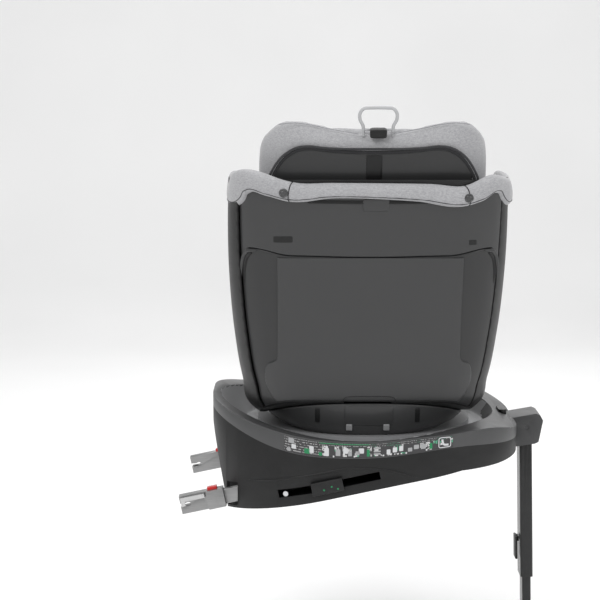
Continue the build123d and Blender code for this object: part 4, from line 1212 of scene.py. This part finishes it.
# pale rounded frame with a plain seat figure at the strip's right end
sq = np.linspace(0, 2 * np.pi, 72)
frame_x = 121 + 9.5 * np.sign(np.cos(sq)) * np.abs(np.cos(sq)) ** 0.3
frame_f = 0.5 + 0.36 * np.sign(np.sin(sq)) * np.abs(np.sin(sq)) ** 0.3
frame_line = rim_side(frame_x, frame_f, 0.6)
print_white = plastic("print_white", 0.55, 0.5, grain=2600, depth=0.01, edge=0.0)
finish_piece(sweep("figure_frame", frame_line, ellipse_section(0.7, 0.25, 2, 8), up=(0, 1, 0)), "base", print_white)
figure = np.array([(117, 0.74), (118, 0.45), (121, 0.33), (127, 0.3)], float)
fig = curve_through(np.arange(4), figure, np.linspace(0, 3, 24))
finish_piece(sweep("figure_body", rim_side(fig[:, 0], fig[:, 1], 0.6), ellipse_section(1.7, 0.25, 2, 10),
    up=(0, 1, 0)), "base", print_white)

on_band = lambda x, f, rise: rim_side(x, f, 0.75)
print_white_soft = plastic("print_grey", 0.32, 0.5, grain=2600, depth=0.01, edge=0.0)
print_green = plastic("print_green", 0.1, 0.5, tint=(0.02, 0.2, 0.08), grain=2600, depth=0.01, edge=0.0)
# generic step pictures: pairs of a head dot and a body tile, and plain seat tiles, in a row along the strip
TILES = [(-97, 0.30, 4.5, 0.15, 1), (-90, 0.42, 3.6, 0.2, 0), (-76, 0.22, 2.6, 0.1, 1), (-66, 0.36, 3.6, 0.24, 0),
    (-66, 0.64, 2.0, 0.08, 0), (-48, 0.36, 3.8, 0.2, 2), (-36, 0.48, 3.8, 0.17, 0), (-29, 0.3, 3.0, 0.14, 2),
         (-17, 0.34, 3.2, 0.12, 2), (-11, 0.48, 4.2, 0.16, 0), (0, 0.34, 2.4, 0.22, 1), (14, 0.62, 5.5, 0.06, 2),
         (14, 0.42, 5.5, 0.05, 2), (14, 0.26, 5.5, 0.05, 2), (32, 0.34, 3.0, 0.16, 0), (42, 0.44, 3.4, 0.16, 0),
         (52, 0.48, 3.2, 0.16, 0), (66, 0.34, 3.4, 0.12, 2), (76, 0.46, 4.0, 0.14, 2), (87, 0.42, 4.0, 0.16, 2),
         (99, 0.38, 2.2, 0.2, 1), (-122, 0.72, 4.5, 0.14, 2), (-118, 0.42, 3.6, 0.13, 0), (-126, 0.2, 2.8, 0.1, 2),
         (-55, 0.12, 1.2, 0.05, 0), (-22, 0.14, 1.2, 0.05, 0), (24, 0.14, 1.2, 0.05, 0), (60, 0.16, 1.2, 0.05, 0),
         (92, 0.16, 1.2, 0.05, 0)]
for number, (x_mid, f_mid, wide_, tall_, tone_) in enumerate(TILES):
    plaque(f"step_picture_{number + 1}", x_mid - wide_, x_mid + wide_, f_mid - tall_, f_mid + tall_, 0.3,
        (print_white, print_green, print_white_soft)[tone_], body="base", place=on_band)
plaque("green_rule", -78, 2, 0.84, 0.89, 0.3, print_green, body="base", place=on_band)
# rolled lower edge of the rim, and the crease line of the pod on the housing's side
edge_xs = np.linspace(-236, 236, 220)
finish_piece(sweep("rim_edge_line", rim_side(edge_xs, 0.985, -0.5), ellipse_section(1.1, 1.1, 2, 10), up=(0, 1, 0)),
    "base", rim_grey)
crease_x = np.linspace(-191, 78, 120)
crease = curve_through([-191, -152, -92, -21, 26, 60, 78], np.array([8, 14, 26, 38, 36, 29, 23], float), crease_x)
crease_pts = np.stack([crease_x, base_edge(crease_x, 0.1)[0], crease], -1)
finish_piece(sweep("pod_crease", crease_pts, ellipse_section(1.8, 0.8, 2, 10), up=(0, 1, 0),
    scale=np.minimum(1, np.minimum(np.arange(120), np.arange(120)[::-1]) / 12 + 0.1)), "base", rim_black)


def side_disc(name, x, z, radius, out, material):
    """Small domed dot on the housing's side: rings shrunk towards its middle and raised by out."""
    a = np.linspace(0, 2 * np.pi, 24, endpoint=False)[None, :]
    r = np.array([1.0, 0.95, 0.7, 0.35, 0.0])[:, None] * radius
    px = x + r * np.cos(a)
    pz = z + r * np.sin(a)
    y = base_edge(px, 0)[0] - np.array([-0.6, 0.7, 1, 1, 1])[:, None] * out
    piece = surface(name, np.stack([px, y, pz], -1), around_v=True)
    clean(piece)
    return finish_piece(piece, "base", material)


side_disc("slot_marker", -131, -6.5, 4.2, 0.8, print_white)
for number, (dx, dz) in enumerate(((-58, 17), (-48, 8), (-70, 12))):
    a = np.linspace(0, 2 * np.pi, 20, endpoint=False)[None, :]
    r = np.array([1.0, 0.9, 0.4, 0.0])[:, None] * 1.6
    spot_z = dx * 0.2126 + dz * 0.6 + 12 + r * np.sin(a)
    spot = surface(f"knob_mark_{number + 1}",
        np.stack([dx + r * np.cos(a), -227.3 - np.array([-0.3, 0.2, 0.3, 0.3])[:, None] + 0 * a, spot_z], -1),
        around_v=True)
    clean(spot)
    finish_piece(spot, "anchor_carriage", print_green)

# the dish round the turntable, a cone frustum closed under the rim's inner edge
a = np.linspace(0, 2 * np.pi, 240, endpoint=False)[:, None]
f = np.linspace(0, 1, 24)[None, :]
r = 203.5 + 43.5 * f
dish = np.stack([r * np.cos(a), r * np.sin(a), 69.6 + 54.6 * np.clip((r - 204.8) / 41, 0, None) + 0.45 + 0 * a], -1)
inside = (dish[..., 2] < curve_through(RIM_LINE[:, 0], RIM_LINE[:, 1],
    dish[..., 0]) + 0.4) & (np.abs(dish[..., 1]) < -base_edge(dish[..., 0])[0] - 1.5) & (np.abs(dish[..., 0]) < 250)
cells = inside & np.roll(inside, -1, 0)
cells = cells[:, :-1] & cells[:, 1:]
rest = (dish[:, :-1, 0] > 205) & (np.abs(dish[:, :-1, 1]) < 36)
dish_piece = surface("deck_dish", dish, around_u=True, keep=cells & ~rest)
clean(dish_piece, outward=False)
if dish_piece.data.polygons and sum(p.normal.z for p in dish_piece.data.polygons) < 0:
    dish_piece.data.flip_normals()
walled(dish_piece, 1.0, 0.0)
finish_piece(dish_piece, "base", deck_grey, sharp=50)

# ------------------------------------------------------------------ floor, light and camera


def stand_material():
    """Pale matt floor with a faint slow tone drift."""
    material, s, shader = new_material("floor_pale", {"Roughness": 0.9})
    drift = s.node("TexNoise", {"Vector": s.node("TexCoord").outputs["Object"], "Scale": 1.5,
        "Detail": 2.0}).outputs["Fac"]
    tone = s.ramp(drift, 0.3, 0.7, 0.93, 0.96)
    s.tree.links.new(s.node("CombineColor", {0: tone, 1: tone, 2: tone}).outputs[0], shader.inputs["Base Color"])
    return material


low_z = cad_box[0][2]
t = np.linspace(0, 1, 48)[:, None]
width = np.linspace(-11000, 11000, 3)[None, :]
depth = np.where(t < 0.5, -9000 + t * 2 * 12000, 3000 + 1500 * np.sin(np.clip((t - 0.5) * 4, 0, 1) * np.pi / 2))
height = np.where(t < 0.5, 0, 1500 * (1 - np.cos(np.clip((t - 0.5) * 4, 0, 1) * np.pi / 2)) + np.clip(t - 0.75, 0,
    1) * 16000)
backdrop = surface("floor", np.stack([width + 0 * t, depth + 0 * width, low_z * 1000 - 0.5 + height + 0 * width], -1))
backdrop.data.materials.append(stand_material())

world = bpy.data.worlds.new("studio")
scene.world = world
world.use_nodes = True
world.node_tree.nodes["Background"].inputs[0].default_value = (1, 1, 1, 1)
world.node_tree.nodes["Background"].inputs[1].default_value = 0.66
scene.view_settings.view_transform = "Standard"


def area_light(name, place, aim, size, power):
    """A square soft light at a place, aimed at a point."""
    data = bpy.data.lights.new(name, "AREA")
    data.shape = "RECTANGLE"
    data.size, data.size_y = size
    data.energy = power
    obj = bpy.data.objects.new(name, data)
    scene.collection.objects.link(obj)
    obj.location = place
    direction = np.asarray(aim, float) - np.asarray(place, float)
    yaw = math.atan2(direction[1], direction[0]) - math.pi / 2
    pitch = math.atan2(direction[2], math.hypot(direction[0], direction[1]))
    obj.rotation_euler = (pitch + math.pi / 2, 0, yaw)
    return obj


area_light("key", (-1.3, -2.2, 2.3), (0, 0, 0.25), (1.6, 1.6), 40)
area_light("fill", (2.2, -1.8, 1.3), (0, 0, 0.2), (1.6, 1.8), 20)
area_light("top", (0.1, 0.3, 2.8), (0, 0, 0.2), (2.4, 2.0), 34)
area_light("rim_light", (0.4, 2.6, 1.6), (0, 0, 0.3), (2.4, 1.6), 16)

lens = bpy.data.cameras.new("camera")
lens.sensor_width = 36
lens.lens = 96
camera = bpy.data.objects.new("camera", lens)
scene.collection.objects.link(camera)
camera.location = (-0.1081, -2.6935, 0.6552)
camera.rotation_euler = (math.radians(90 - 8), 0, 0)
scene.camera = camera
